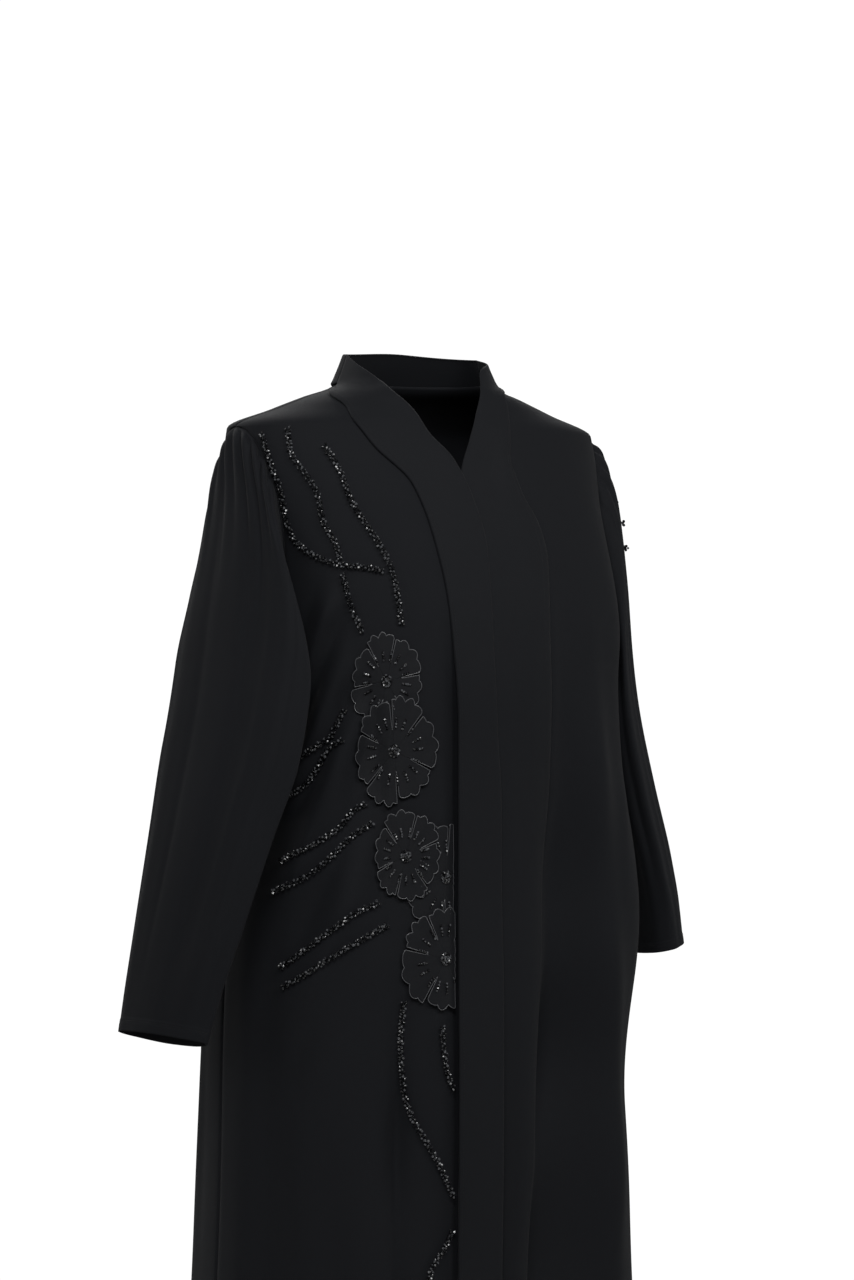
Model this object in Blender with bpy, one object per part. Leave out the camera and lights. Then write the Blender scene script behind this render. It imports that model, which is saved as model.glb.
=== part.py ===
"""An open-front abaya cloak in its worn, hollow form.

The cut: two fronts, one back in a single piece, two gathered-head sleeves, and a band in three
lengths that edges both fronts and stands round the neck. Beaded strands and five appliqued
flowers lie on the wearer's right front, and short beaded rows on the left sleeve.

The frame: the wearer faces -Y, +Z is up, and the origin is the middle of the neck at the height
of the neck points. Everything is worked out in centimetres and turned to metres in the mesh.
"""

import bpy
import numpy as np
from mathutils import Vector
from mathutils.bvhtree import BVHTree

CM = 0.01

# The cut
LENGTH = 139.5  # neck point to hem
SHOULDER_DROP = 4.5  # neck point down to the shoulder tip
UNDERARM = 28.0  # neck point down to the underarm
WALL = 0.2  # cloth of the fronts and the back
SLEEVE_WALL = 0.18
BAND_WALL = 0.24  # two layers of cloth
SEAM_GAP = 0.03  # between neighbouring pieces
ARMHOLE_GAP = 0.05
BAND_LIFT = 0.07  # from a front's face to the band that laps over it
NECK_LIFT = 0.03  # added to that round the neck
BAND_HEIGHT_AT_NECK = 3.0
BAND_HEIGHT_AT_BACK = 3.6
NECK_RADIUS = 8.0

# Level rings of the body, from the top of the neck band to the hem
# height, half width, front depth, back depth, y of the middle
BODY_RINGS = (
    (3.6, 7.0, 5.4, 3.9, 1.5),
    (1.2, 7.9, 6.4, 4.9, 1.5),
    (0.0, 8.5, 7.0, 5.5, 1.5),
    (-1.2, 11.8, 7.4, 7.2, 1.5),
    (-2.5, 15.2, 7.9, 8.6, 1.5),
    (-SHOULDER_DROP, 20.0, 9.0, 9.9, 1.4),
    (-8.0, 20.2, 10.8, 11.3, 1.3),
    (-12.0, 19.8, 12.3, 12.2, 1.2),
    (-18.0, 19.0, 13.9, 12.9, 1.1),
    (-24.0, 18.2, 14.8, 13.0, 1.0),
    (-30.0, 17.6, 15.1, 12.7, 0.9),
    (-38.0, 18.2, 14.9, 12.5, 0.8),
    (-48.0, 20.2, 14.9, 13.0, 0.7),
    (-60.0, 21.6, 15.3, 14.3, 0.6),
    (-75.0, 22.0, 15.8, 15.3, 0.6),
    (-90.0, 22.6, 16.1, 15.8, 0.6),
    (-115.0, 24.2, 17.0, 17.0, 0.6),
    (-LENGTH, 26.0, 18.2, 18.4, 0.6),
)
RING_SQUARENESS = 2.25  # 2 is an ellipse, more is squarer

# Soft folds of the body. Angles run from the wearer's left side (0) over the front (90) to the
# right side (180) and the back (270).
# angle at the top, angle at the foot, top height, foot height, how far it stands out, half width
BODY_FOLDS = (
    (26.0, 30.0, -7.0, -72.0, 2.9, 4.4),
    (33.0, 36.0, -58.0, -LENGTH, 0.7, 3.6),
    (44.0, 46.0, -14.0, -96.0, 0.75, 2.4),
    (60.0, 56.0, -22.0, -LENGTH, -0.8, 4.2),
    (14.0, 10.0, -36.0, -LENGTH, -0.9, 3.4),
    (150.0, 136.0, -20.0, -62.0, 0.6, 2.6),
    (141.0, 127.0, -24.0, -58.0, -0.5, 2.2),
    (112.0, 112.0, -64.0, -LENGTH, -0.9, 3.4),
    (128.0, 126.0, -70.0, -LENGTH, 0.6, 4.0),
    (160.0, 158.0, -52.0, -LENGTH, -0.7, 3.2),
    (208.0, 200.0, -30.0, -LENGTH, 0.9, 3.6),
    (226.0, 224.0, -18.0, -LENGTH, -0.7, 3.6),
    (246.0, 248.0, -34.0, -LENGTH, 0.8, 4.0),
    (270.0, 270.0, -50.0, -LENGTH, -0.8, 4.4),
    (294.0, 292.0, -30.0, -LENGTH, 0.8, 4.0),
    (315.0, 318.0, -20.0, -LENGTH, -0.7, 3.6),
    (334.0, 340.0, -30.0, -LENGTH, 0.9, 3.4),
)
FOLD_RADIUS = 18.0  # turns a fold's half width into an angle
HEM_WAVES = 9
HEM_WAVE_HEIGHT = 0.5
HEM_WAVE_TOP = -70.0

# The sheet that the trim was drawn on: a plane through the neck, seen from the wearer's right
# front. Places on it are "across" (to the viewer's right) and "height".
VIEW_TURN = np.radians(30.0)
VIEW_DISTANCE = 350.0
VIEW_HEIGHT = -25.3

# Band edges from the neck point to the hem, on that sheet
# seam across, seam height, free edge across, free edge height
RIGHT_BAND = (
    (-7.5, -1.9, -4.7, 1.2),
    (-6.5, -3.6, -2.8, -0.4),
    (-4.2, -6.4, -0.7, -2.3),
    (-2.4, -8.0, 1.0, -4.8),
    (-1.1, -9.3, 3.2, -7.1),
    (0.5, -12.5, 5.2, -11.0),
    (1.7, -16.4, 6.6, -15.8),
    (2.6, -20.4, 7.0, -20.4),
    (3.3, -26.0, 7.3, -26.0),
    (3.8, -34.3, 7.7, -34.3),
    (3.8, -42.0, 8.1, -42.0),
    (3.8, -55.0, 8.2, -55.0),
    (3.8, -89.0, 8.2, -89.0),
    (3.8, -118.0, 8.2, -118.0),
    (3.6, -143.5, 8.2, -143.5),
)
LEFT_BAND = (
    (8.4, -0.9, 5.9, 1.6),
    (8.8, -2.6, 5.9, 0.2),
    (9.0, -5.2, 5.7, -2.0),
    (9.2, -8.1, 5.0, -5.2),
    (10.2, -10.6, 4.2, -8.2),
    (11.9, -13.8, 3.9, -12.2),
    (12.7, -16.6, 4.3, -16.6),
    (13.0, -26.0, 5.2, -26.0),
    (13.1, -41.0, 5.6, -41.0),
    (12.5, -61.0, 5.7, -61.0),
    (11.4, -89.0, 5.7, -89.0),
    (10.8, -118.0, 5.7, -118.0),
    (10.4, -143.5, 5.7, -143.5),
)
RIGHT_TUCK = 0.17  # share of the band's width that the front reaches under it
LEFT_TUCK = 0.09
NECK_TUCK = 0.06  # what is left of the tuck at the neck
UNDERLAP_DROP = 0.33  # the left band sinks so far to pass under the right one
GROOVE_DEPTH = 0.5  # of the right front beside its band
GROOVE_WIDTH = 1.5
GROOVE_TOP = -22.0
GROOVE_FULL = -34.0

# Armholes, as an angle each way from the side
ARMHOLE_FRONT = 18.0
ARMHOLE_BACK = 14.0
ARMHOLE_STEPS = (0.0, 12.0, 30.0, 50.0, 70.0, 90.0, 110.0, 130.0, 150.0, 168.0, 180.0)

# Sleeve sections from the head to the cuff, sizes measured outwards from the middle of the body
# outer line x, outer line z, inner line x, inner line z, y of the middle, half length, turn
RIGHT_SLEEVE = (
    (20.4, -5.3, 18.2, -29.0, 0.7, 5.6, 3.0),
    (20.8, -7.6, 18.5, -30.2, 0.0, 6.3, 7.0),
    (21.2, -11.5, 18.8, -31.8, -1.1, 7.2, 12.0),
    (21.9, -17.0, 19.3, -34.0, -2.2, 8.2, 17.0),
    (23.2, -24.5, 19.9, -37.0, -3.0, 8.9, 20.0),
    (25.0, -33.0, 20.9, -41.0, -3.5, 8.8, 20.0),
    (27.2, -42.0, 22.5, -46.5, -3.3, 7.9, 19.0),
    (29.3, -51.5, 24.4, -54.0, -2.7, 7.1, 17.0),
    (30.6, -57.5, 25.7, -59.5, -2.2, 6.4, 16.0),
    (31.6, -62.6, 26.4, -64.2, -1.7, 5.9, 15.0),
)
LEFT_SLEEVE = (
    (20.9, -5.2, 18.25, -29.0, 1.2, 5.9, 2.0),
    (21.8, -7.4, 18.6, -30.0, 1.3, 6.6, 4.0),
    (22.5, -11.5, 18.9, -31.4, 1.4, 7.3, 6.0),
    (23.2, -17.0, 19.2, -33.4, 1.5, 7.9, 8.0),
    (24.0, -24.0, 19.6, -35.8, 1.6, 8.3, 10.0),
    (25.2, -31.5, 20.3, -38.8, 1.5, 8.1, 11.0),
    (27.0, -39.5, 21.6, -43.6, 1.2, 7.7, 11.0),
    (28.9, -47.0, 23.4, -49.4, 0.8, 7.3, 11.0),
    (29.9, -52.0, 24.4, -53.8, 0.6, 6.9, 10.0),
    (30.4, -56.2, 24.9, -57.6, 0.4, 6.7, 10.0),
)
HEAD_FADE = 3.0  # sections over which the armhole's own shape dies away
# Gathers at a sleeve head: degrees round the sleeve from its outer line, plus towards the front
GATHERS = (-52.0, -37.0, -23.0, -10.0, 4.0, 17.0, 30.0, 44.0, 58.0)
GATHER_HEIGHT = 0.34
GATHER_WIDTH = 4.2  # degrees
# Long sleeve folds: degrees round, first section, last section, how far it stands out, half width
SLEEVE_FOLDS = (
    (26.0, 1.0, 8.5, -0.55, 9.0),
    (50.0, 1.5, 9.0, 0.45, 10.0),
    (74.0, 3.0, 9.5, -0.5, 9.0),
    (120.0, 3.0, 9.5, 0.4, 13.0),
    (205.0, 3.0, 9.5, -0.35, 14.0),
    (250.0, 2.0, 9.0, 0.45, 12.0),
    (285.0, 1.5, 9.0, -0.5, 10.0),
    (322.0, 1.0, 8.5, 0.45, 10.0),
)

# Beaded strands on the right front, as (across, height) on the drawing sheet
STRAND_WIDTH = 0.52
STRAND_HEIGHT = 0.3
STRAND_STEP = 1.05
STRAND_LIFT = 0.07
LAY_REACH = 1.2  # how far off a carrier its trim may start
ROW_LIFT = 0.06
FRONT_STRANDS = {
    "strand_shoulder_outer": (
        (-15.8, -4.5), (-14.7, -8.0), (-13.9, -10.1), (-13.3, -13.2), (-12.6, -15.0), (-11.2, -16.4),
        (-9.5, -17.3), (-7.9, -17.8), (-5.0, -18.1), (-3.7, -18.4),
    ),
    "strand_shoulder_middle": (
        (-13.2, -4.0), (-12.9, -6.4), (-11.3, -8.9), (-10.2, -10.7), (-9.7, -13.2), (-8.3, -15.9),
        (-7.95, -17.2),
    ),
    "strand_middle_foot": ((-7.7, -18.5), (-7.2, -20.7), (-6.4, -22.9), (-5.7, -24.5)),
    "strand_shoulder_inner": (
        (-9.7, -5.7), (-7.9, -8.6), (-7.0, -11.1), (-5.6, -13.4), (-4.1, -15.7), (-3.2, -17.3), (-2.5, -19.5),
        (-2.05, -22.2), (-1.85, -23.7),
    ),
    "strand_waist_1": ((-7.3, -32.1), (-8.7, -34.6), (-10.7, -36.1), (-12.9, -37.8)),
    "strand_waist_2": ((-7.4, -35.2), (-8.7, -36.0), (-9.8, -37.5), (-11.3, -39.6), (-12.9, -40.8)),
    "strand_hip_1": ((-5.2, -41.6), (-6.4, -42.2), (-8.4, -44.3), (-10.4, -45.6), (-13.8, -47.5)),
    "strand_hip_2": ((-4.6, -43.5), (-6.6, -44.9), (-8.7, -46.8), (-10.7, -48.5), (-14.5, -50.5)),
    "strand_thigh_1": ((-4.0, -51.5), (-6.3, -52.5), (-9.0, -54.5), (-11.3, -56.3), (-13.8, -58.0)),
    "strand_thigh_2": ((-3.1, -53.7), (-5.2, -54.9), (-8.7, -56.9), (-11.3, -58.7), (-13.6, -60.0)),
    "strand_trail": (
        (-1.6, -61.2), (-2.0, -65.3), (-1.7, -69.3), (-1.0, -72.3), (0.5, -75.3), (1.6, -77.3), (2.6, -79.5),
        (3.2, -80.9),
    ),
    "strand_trail_foot": (
        (3.2, -84.2), (2.4, -86.0), (1.1, -88.2), (0.5, -91.0), (0.2, -95.0), (-0.6, -99.5), (-2.2, -103.5),
        (-4.4, -107.0),
    ),
    "strand_trail_inner": ((2.15, -63.7), (2.3, -66.3), (2.7, -68.8), (3.2, -70.2)),
}
# Rows on the left sleeve: height, first and last degree round the sleeve
SLEEVE_ROWS = (
    (-11.2, -34.0, 30.0),
    (-13.4, -44.0, 44.0),
    (-15.9, -34.0, 46.0),
    (-18.2, -44.0, 34.0),
    (-20.7, -30.0, 28.0),
)

# Flowers on the right front: across, height, radius, layer, turn in degrees
FLOWERS = (
    (-3.3, -29.4, 4.9, 0, 10.0),
    (-2.5, -36.4, 5.6, 1, 40.0),
    (-1.4, -46.9, 4.6, 1, 75.0),
    (2.6, -49.0, 6.0, 0, 20.0),
    (2.5, -57.2, 5.7, 1, 55.0),
)
FLOWER_NARROW = 0.8  # a round flower is so much narrower on the sheet, which the front turns from
PETALS = 6
PETAL_NOTCH = 0.16
PETAL_WALL = 0.1
PETAL_POINTS = 30
PETAL_RINGS = (0.12, 0.45, 0.75, 1.0)  # shares of the reach; the first is the heart's
PETAL_LIFT = (0.1, 0.29)
FLOWER_HEART = 0.5  # radius of the raised bead cluster
FLOWER_HEART_HEIGHT = 0.3
BAND_CLEARANCE = 0.35  # trim stops so far short of the right band


def ease(x):
    """0 below 0, 1 above 1, and a smooth S between."""
    x = np.clip(x, 0.0, 1.0)
    return x * x * (3.0 - 2.0 * x)


def smooth(knots, values, at):
    """Cubic pieces through the rows of values, with a slope at each knot that is the harmonic mean
    of its two chords, and level where they differ in sign."""
    knots, values, at = np.asarray(knots, float), np.asarray(values, float), np.asarray(at, float)
    span = np.diff(knots)
    chord = np.diff(values, axis=0) / span[:, None]
    product = chord[:-1] * chord[1:]
    total = chord[:-1] + chord[1:]
    slope = np.vstack([chord[:1], np.zeros((len(span) - 1, values.shape[1])), chord[-1:]])
    slope[1:-1] = np.where(product > 0.0, 2.0 * product / np.where(total == 0.0, 1.0, total), 0.0)
    i = np.clip(np.searchsorted(knots, at, side="right") - 1, 0, len(span) - 1)
    h = span[i][..., None]
    u = (at - knots[i])[..., None] / h
    low, high = values[i], values[i + 1]
    start = (2 * u**3 - 3 * u**2 + 1) * low + (u**3 - 2 * u**2 + u) * h * slope[i]
    return start + (3 * u**2 - 2 * u**3) * high + (u**3 - u**2) * h * slope[i + 1]


RING_TABLE = np.array(BODY_RINGS)[::-1]


def folds(angle, height):
    """Sum of soft ridges and troughs. Each is a bell across its own line, and swells and dies away
    along it, except at the hem."""
    total = np.zeros(np.broadcast(angle, height).shape)
    for top_angle, foot_angle, top, foot, out, half_width in BODY_FOLDS:
        along = (top - height) / (top - foot)
        line = top_angle + (foot_angle - top_angle) * np.clip(along, 0.0, 1.0)
        off = (angle - line + 180.0) % 360.0 - 180.0
        bell = np.exp(-((off / np.degrees(half_width / FOLD_RADIUS)) ** 2))
        reach = ease(along / 0.3)
        if foot > -LENGTH:
            reach = reach * (1.0 - ease((along - 0.65) / 0.35))
        total = total + out * bell * reach
    waves = np.sin(np.radians(HEM_WAVES * angle) + 1.3 * np.sin(np.radians(2.0 * angle)))
    low = ease((HEM_WAVE_TOP - height) / (LENGTH + HEM_WAVE_TOP))
    return total + HEM_WAVE_HEIGHT * low * waves


def body(angle, height):
    """Outer face of the cloth: a squared ellipse at each height, plus the folds."""
    angle, height = np.broadcast_arrays(np.asarray(angle, float), np.asarray(height, float))
    ring = smooth(RING_TABLE[:, 0], RING_TABLE[:, 1:], height)
    half_width, front, back, middle = np.moveaxis(ring, -1, 0)
    across, forward = np.cos(np.radians(angle)), np.sin(np.radians(angle))
    depth = np.where(forward > 0.0, front, back)
    power = RING_SQUARENESS
    radius = (np.abs(across / half_width) ** power + np.abs(forward / depth) ** power) ** (-1.0 / power)
    radius = radius + folds(angle, height)
    return np.stack([radius * across, middle - radius * forward, height], axis=-1)


def facing(surface, angle, height):
    """Unit normals of a surface, pointing out of the garment."""
    step = 0.05
    up = surface(angle, height + step) - surface(angle, height - step)
    round_body = surface(angle + step, height) - surface(angle - step, height)
    normal = np.cross(up, round_body)
    return normal / np.linalg.norm(normal, axis=-1, keepdims=True)


def on_sheet(point):
    """A point's place on the drawing sheet: its sight line's crossing with the sheet."""
    across = point[..., 0] * np.cos(VIEW_TURN) - point[..., 1] * np.sin(VIEW_TURN)
    behind = point[..., 0] * np.sin(VIEW_TURN) + point[..., 1] * np.cos(VIEW_TURN)
    scale = VIEW_DISTANCE / (VIEW_DISTANCE + behind)
    return across * scale, VIEW_HEIGHT + (point[..., 2] - VIEW_HEIGHT) * scale


def under_sheet(surface, across, height):
    """(angle, height) on a surface under a place on the drawing sheet, by Newton's steps."""
    across, height = np.asarray(across, float), np.asarray(height, float)
    angle = 105.0 - 3.4 * across
    level = height.copy()
    for _ in range(14):
        here, seen_height = on_sheet(surface(angle, level))
        beside, _ = on_sheet(surface(angle + 0.1, level))
        step = (across - here) / ((beside - here) / 0.1)
        angle = np.clip(angle + np.clip(step, -8.0, 8.0), 12.0, 172.0)
        level = level + (height - seen_height)
    return angle, level


def band_lines(table, side_angle):
    """Seam line and free edge of a front band as rows of (angle, height) from neck to hem."""
    table = np.array(table)
    seam = np.stack(under_sheet(body, table[:, 0], table[:, 1]), axis=-1)
    edge = np.stack(under_sheet(body, table[:, 2], table[:, 3]), axis=-1)
    seam[-1, 1] = edge[-1, 1] = -LENGTH
    seam = np.vstack([(side_angle, 0.0), seam])
    edge = np.vstack([(side_angle, BAND_HEIGHT_AT_NECK), edge])
    return seam, edge


RIGHT_SEAM, RIGHT_EDGE = band_lines(RIGHT_BAND, 180.0)
LEFT_SEAM, LEFT_EDGE = band_lines(LEFT_BAND, 0.0)


def right_front(angle, height):
    """The right front's face: the body's, sunk in a groove beside the band."""
    point = body(angle, height)
    seam = np.interp(-np.asarray(height, float), -RIGHT_SEAM[:, 1], RIGHT_SEAM[:, 0])
    off = np.radians(np.maximum(angle - seam, 0.0)) * FOLD_RADIUS
    depth = GROOVE_DEPTH * ease((GROOVE_TOP - height) / (GROOVE_TOP - GROOVE_FULL))
    sunk = depth * np.exp(-((off / GROOVE_WIDTH) ** 2))
    return point - facing(body, angle, height) * sunk[..., None]


def material(name, colour, roughness):
    """A plain Principled material."""
    made = bpy.data.materials.new(name)
    made.use_nodes = True
    shader = made.node_tree.nodes["Principled BSDF"]
    shader.inputs["Base Color"].default_value = (*colour, 1.0)
    shader.inputs["Roughness"].default_value = roughness
    return made


def add_solid(name, points, faces, look):
    """A closed mesh object from points in centimetres. It is turned right side out if need be."""
    points = np.asarray(points, float) * CM
    corners = np.array([(f[0], f[i], f[i + 1]) for f in faces for i in range(1, len(f) - 1)])
    volume = np.linalg.det(points[corners] - points.mean(axis=0)).sum()
    if volume < 0.0:
        faces = [tuple(reversed(face)) for face in faces]
    mesh = bpy.data.meshes.new(name)
    mesh.from_pydata(points.tolist(), [], [tuple(map(int, face)) for face in faces])
    mesh.validate()
    mesh.shade_smooth()
    mesh.set_sharp_from_angle(angle=np.radians(40.0))
    mesh.materials.append(look)
    made = bpy.data.objects.new(name, mesh)
    bpy.context.scene.collection.objects.link(made)
    return made


def strip_faces(first, second):
    """Two triangles for each step between two rows of point numbers."""
    quads = zip(first[:-1], first[1:], second[1:], second[:-1])
    return [face for a, b, c, d in quads for face in ((a, b, c), (a, c, d))]


def wall_solid(name, outer, inner, look, ring=False):
    """A wall between two grids of points, closed all round its rim. With ring, the columns run
    round a tube and only its two ends need a rim."""
    rows, columns = outer.shape[:2]
    number = np.arange(rows * columns).reshape(rows, columns)
    if ring:
        number = np.hstack([number, number[:, :1]])
    under = number + rows * columns
    faces = []
    for row in range(rows - 1):
        faces += strip_faces(number[row], number[row + 1])
        faces += strip_faces(under[row + 1], under[row])
    faces += strip_faces(under[0], number[0]) + strip_faces(number[-1], under[-1])
    if not ring:
        faces += strip_faces(number[:, 0], under[:, 0]) + strip_faces(under[:, -1], number[:, -1])
    return add_solid(name, np.vstack([outer.reshape(-1, 3), inner.reshape(-1, 3)]), faces, look)


def cloth_solid(name, surface, angle, height, look):
    """A panel's wall, with its outer face on a surface."""
    outer, normal = surface(angle, height), facing(surface, angle, height)
    return wall_solid(name, outer, outer - normal * WALL, look)


LOWER_HEIGHTS = np.concatenate([np.linspace(-LENGTH, -68.0, 9), np.linspace(-62.0, -UNDERARM - 3.0, 9)])
BACK_COLUMNS = 17
FRONT_COLUMNS = 15
FINE_STEPS = 1500  # along a band's line, where it is looked up by height
SHOULDER_HEIGHTS = np.array([-3.4, -2.3, -1.3, -0.6, -0.15])
HALF_GAP = SEAM_GAP / 2.0


def panel_side(side, inward, reach):
    """(angle, height) up a panel's edge at constant-height rows: the side seam, the armhole as half
    an ellipse in angle and height, and the shoulder seam. Side 0 is the left, and inward is the
    sign of the angles that lie on the panel."""
    middle, half = (UNDERARM + SHOULDER_DROP) / 2.0, (UNDERARM - SHOULDER_DROP) / 2.0
    step = np.radians(np.array(ARMHOLE_STEPS))
    armhole = -middle - half * np.cos(step)
    height = np.concatenate([LOWER_HEIGHTS, armhole, SHOULDER_HEIGHTS])
    off = np.concatenate([LOWER_HEIGHTS * 0.0, reach * np.sin(step), SHOULDER_HEIGHTS * 0.0])
    half_width = smooth(RING_TABLE[:, 0], RING_TABLE[:, 1:2], height)[..., 0]
    return side + inward * (off + np.degrees(HALF_GAP / half_width)), height


def front_solid(name, surface, seam, edge, tuck, side, inward, spread, look):
    """One front, in rows of one height each. It runs from the band's seam line to its side, and a
    first column reaches on under the band. Columns are closer at the band, by the power spread."""
    side_angle, height = panel_side(side, inward, ARMHOLE_FRONT)
    knots = np.arange(len(seam), dtype=float)
    fine = np.linspace(0.0, knots[-1], FINE_STEPS)
    seam_line, edge_line = smooth(knots, seam, fine), smooth(knots, edge, fine)
    place = np.interp(-height, -seam_line[:, 1], fine)
    place[0] = knots[-1]
    seam_here, edge_here = smooth(knots, seam, place), smooth(knots, edge, place)
    share = tuck * (NECK_TUCK + (1.0 - NECK_TUCK) * ease((-4.0 - height) / 5.0))
    under = seam_here + (edge_here - seam_here) * share[:, None]
    columns = np.linspace(0.0, 1.0, FRONT_COLUMNS) ** spread
    angle = seam_here[:, :1] + (side_angle[:, None] - seam_here[:, :1]) * columns
    level = np.broadcast_to(height[:, None], angle.shape)
    angle = np.hstack([under[:, :1], angle])
    level = np.hstack([under[:, 1:], level])
    return cloth_solid(name, surface, angle, level, look)


def back_solid(look):
    """The back in one piece, from side to side, and up into the neck band."""
    right_angle, height = panel_side(180.0, 1.0, ARMHOLE_BACK)
    left_angle, _ = panel_side(360.0, -1.0, ARMHOLE_BACK)
    tuck = RIGHT_TUCK * BAND_HEIGHT_AT_NECK
    height = np.append(height, (0.0, tuck))
    right_angle = np.append(right_angle, right_angle[-1:].repeat(2))
    left_angle = np.append(left_angle, left_angle[-1:].repeat(2))
    columns = np.linspace(0.0, 1.0, BACK_COLUMNS)
    angle = right_angle[:, None] + (left_angle - right_angle)[:, None] * columns
    return cloth_solid("back", body, angle, np.broadcast_to(height[:, None], angle.shape), look)


def band_grid(seam, edge, rows, columns):
    """(angle, height) over a band: rows from the neck to the hem, columns from seam to free edge."""
    knots = np.arange(len(seam), dtype=float)
    seam_line, edge_line = smooth(knots, seam, rows), smooth(knots, edge, rows)
    return seam_line[:, None] + (edge_line - seam_line)[:, None] * columns[None, :, None]


def band_solid(name, grid, base, look):
    """A band whose lower face lies base above the body's face."""
    point, normal = body(grid[..., 0], grid[..., 1]), facing(body, grid[..., 0], grid[..., 1])
    inner = point + normal * base[..., None]
    return wall_solid(name, inner + normal * BAND_WALL, inner, look)


def band_rows(seam, upper):
    """Row places from the neck to the hem: even ones down to the knot called upper, and below it
    those where the seam crosses the heights of the fronts' own rows."""
    knots = np.arange(len(seam), dtype=float)
    fine = np.linspace(0.0, knots[-1], FINE_STEPS)
    line = smooth(knots, seam[:, 1:], fine)[:, 0]
    low = np.sort(np.interp(-LOWER_HEIGHTS[LOWER_HEIGHTS < seam[upper, 1] - 1.0], -line, fine))
    low[-1] = knots[-1]
    return np.concatenate([np.linspace(0.0, upper, 3 * upper + 1), low])


def neck_lift(grid):
    """How much further a band stands off where it turns up round the neck."""
    return NECK_LIFT * ease((grid[:, :1, 1] + 4.0) / 3.0) + grid[..., 0] * 0.0


def front_bands(look):
    """The right band lies on top. The left one sinks past its own front's edge and goes under it."""
    gap = np.degrees(HALF_GAP / NECK_RADIUS)
    grid = band_grid(RIGHT_SEAM, RIGHT_EDGE, band_rows(RIGHT_SEAM, 9), np.linspace(0.0, 1.0, 5))
    grid[0, :, 0] -= gap
    band_solid("band_right", grid, BAND_LIFT + neck_lift(grid), look)

    columns = np.array([0.0, 0.12, 0.24, 0.42, 0.6, 0.8, 1.0])
    grid = band_grid(LEFT_SEAM, LEFT_EDGE, band_rows(LEFT_SEAM, 8), columns)
    grid[0, :, 0] += gap
    low = ease((-1.0 - grid[:, -1:, 1]) / 5.0)
    base = BAND_LIFT - UNDERLAP_DROP * ease((columns - 0.22) / 0.25) * low
    band_solid("band_left", grid, base + neck_lift(grid), look)


def neck_band(look):
    """The band behind the neck, from shoulder seam to shoulder seam."""
    gap = np.degrees(HALF_GAP / NECK_RADIUS)
    angle = np.linspace(180.0 + gap, 360.0 - gap, BACK_COLUMNS)
    rise = np.sin(np.radians(angle - 180.0))
    top = BAND_HEIGHT_AT_NECK + (BAND_HEIGHT_AT_BACK - BAND_HEIGHT_AT_NECK) * rise
    columns = np.linspace(0.0, 1.0, 5)
    grid = np.stack(np.broadcast_arrays(angle[:, None], top[:, None] * columns), axis=-1)
    band_solid("band_neck", grid, BAND_LIFT + neck_lift(grid), look)


def sleeve_columns():
    """Degrees round a sleeve, closer where the head is gathered."""
    pairs = [[centre - GATHER_WIDTH * 1.3, centre] for centre in GATHERS]
    head = np.concatenate([*pairs, [GATHERS[-1] + GATHER_WIDTH * 1.5]])
    rest = np.linspace(head[-1], head[0] + 360.0, 22)[1:-1]
    return np.concatenate([head, rest])


def armhole_loop(side, round_angle):
    """Points round an armhole, on the straight stretches between the panels' own corners, and a
    seam gap inside them. round_angle is 0 at the shoulder, 90 at the front, 180 at the underarm."""
    sign = 1.0 if side == 0.0 else -1.0
    middle, half = (UNDERARM + SHOULDER_DROP) / 2.0, (UNDERARM - SHOULDER_DROP) / 2.0
    steps = np.array(ARMHOLE_STEPS)
    height = -middle - half * np.cos(np.radians(steps))
    wrapped = (round_angle + 180.0) % 360.0 - 180.0
    from_underarm = 180.0 - np.abs(wrapped)
    loops = []
    for reach in (ARMHOLE_FRONT * sign, -ARMHOLE_BACK * sign):
        corners = body(side + reach * np.sin(np.radians(steps)), height)
        parts = [np.interp(from_underarm, steps, corners[:, axis]) for axis in range(3)]
        loops.append(np.stack(parts, axis=-1))
    loop = np.where((wrapped >= 0.0)[:, None], loops[0], loops[1])
    centre = (body(side, height[:1]) + body(side, height[-1:])) / 2.0
    inward = centre - loop
    return loop + inward / np.linalg.norm(inward, axis=-1, keepdims=True) * ARMHOLE_GAP


def sleeve_grid(table, side, rows, round_angle):
    """Outer points of a sleeve. A section is an ellipse between its outer and inner lines, turned
    so that its front swings in. The first one is the armhole, whose shape fades into the rest."""
    sign = 1.0 if side == 0.0 else -1.0
    hole = armhole_loop(side, round_angle)
    top, foot = armhole_loop(side, np.array([0.0, 180.0]))
    first = (abs(top[0]), top[2], abs(foot[0]), foot[2], 1.2, 5.2, 0.0)
    table = np.vstack([first, table])
    section = smooth(np.arange(len(table), dtype=float), table, rows)
    turn = np.radians(section[:, 6])
    c, s = np.cos(np.radians(round_angle)), np.sin(np.radians(round_angle))
    half_x, half_z = (section[:, 0] - section[:, 2]) / 2.0, (section[:, 1] - section[:, 3]) / 2.0
    mid_x, mid_z = (section[:, 0] + section[:, 2]) / 2.0, (section[:, 1] + section[:, 3]) / 2.0

    def ellipse(i):
        x = mid_x[i, None] + half_x[i, None] * c - section[i, 5, None] * np.sin(turn[i, None]) * s
        y = section[i, 4, None] - section[i, 5, None] * np.cos(turn[i, None]) * s
        z = mid_z[i, None] + half_z[i, None] * c + 0.0 * s
        return np.stack([sign * x, y, z], axis=-1)

    every = ellipse(np.arange(len(rows)))
    base_x = (first[0] + first[2]) / 2.0 + (first[0] - first[2]) / 2.0 * c
    base_z = (first[1] + first[3]) / 2.0 + (first[1] - first[3]) / 2.0 * c
    base = np.stack([sign * base_x, first[4] - first[5] * s, base_z], axis=-1)
    fade = 1.0 - ease(rows / HEAD_FADE)
    every = every + fade[:, None, None] * (hole - base)[None]
    return every, np.stack([sign * mid_x, section[:, 4], mid_z], axis=-1)


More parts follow.
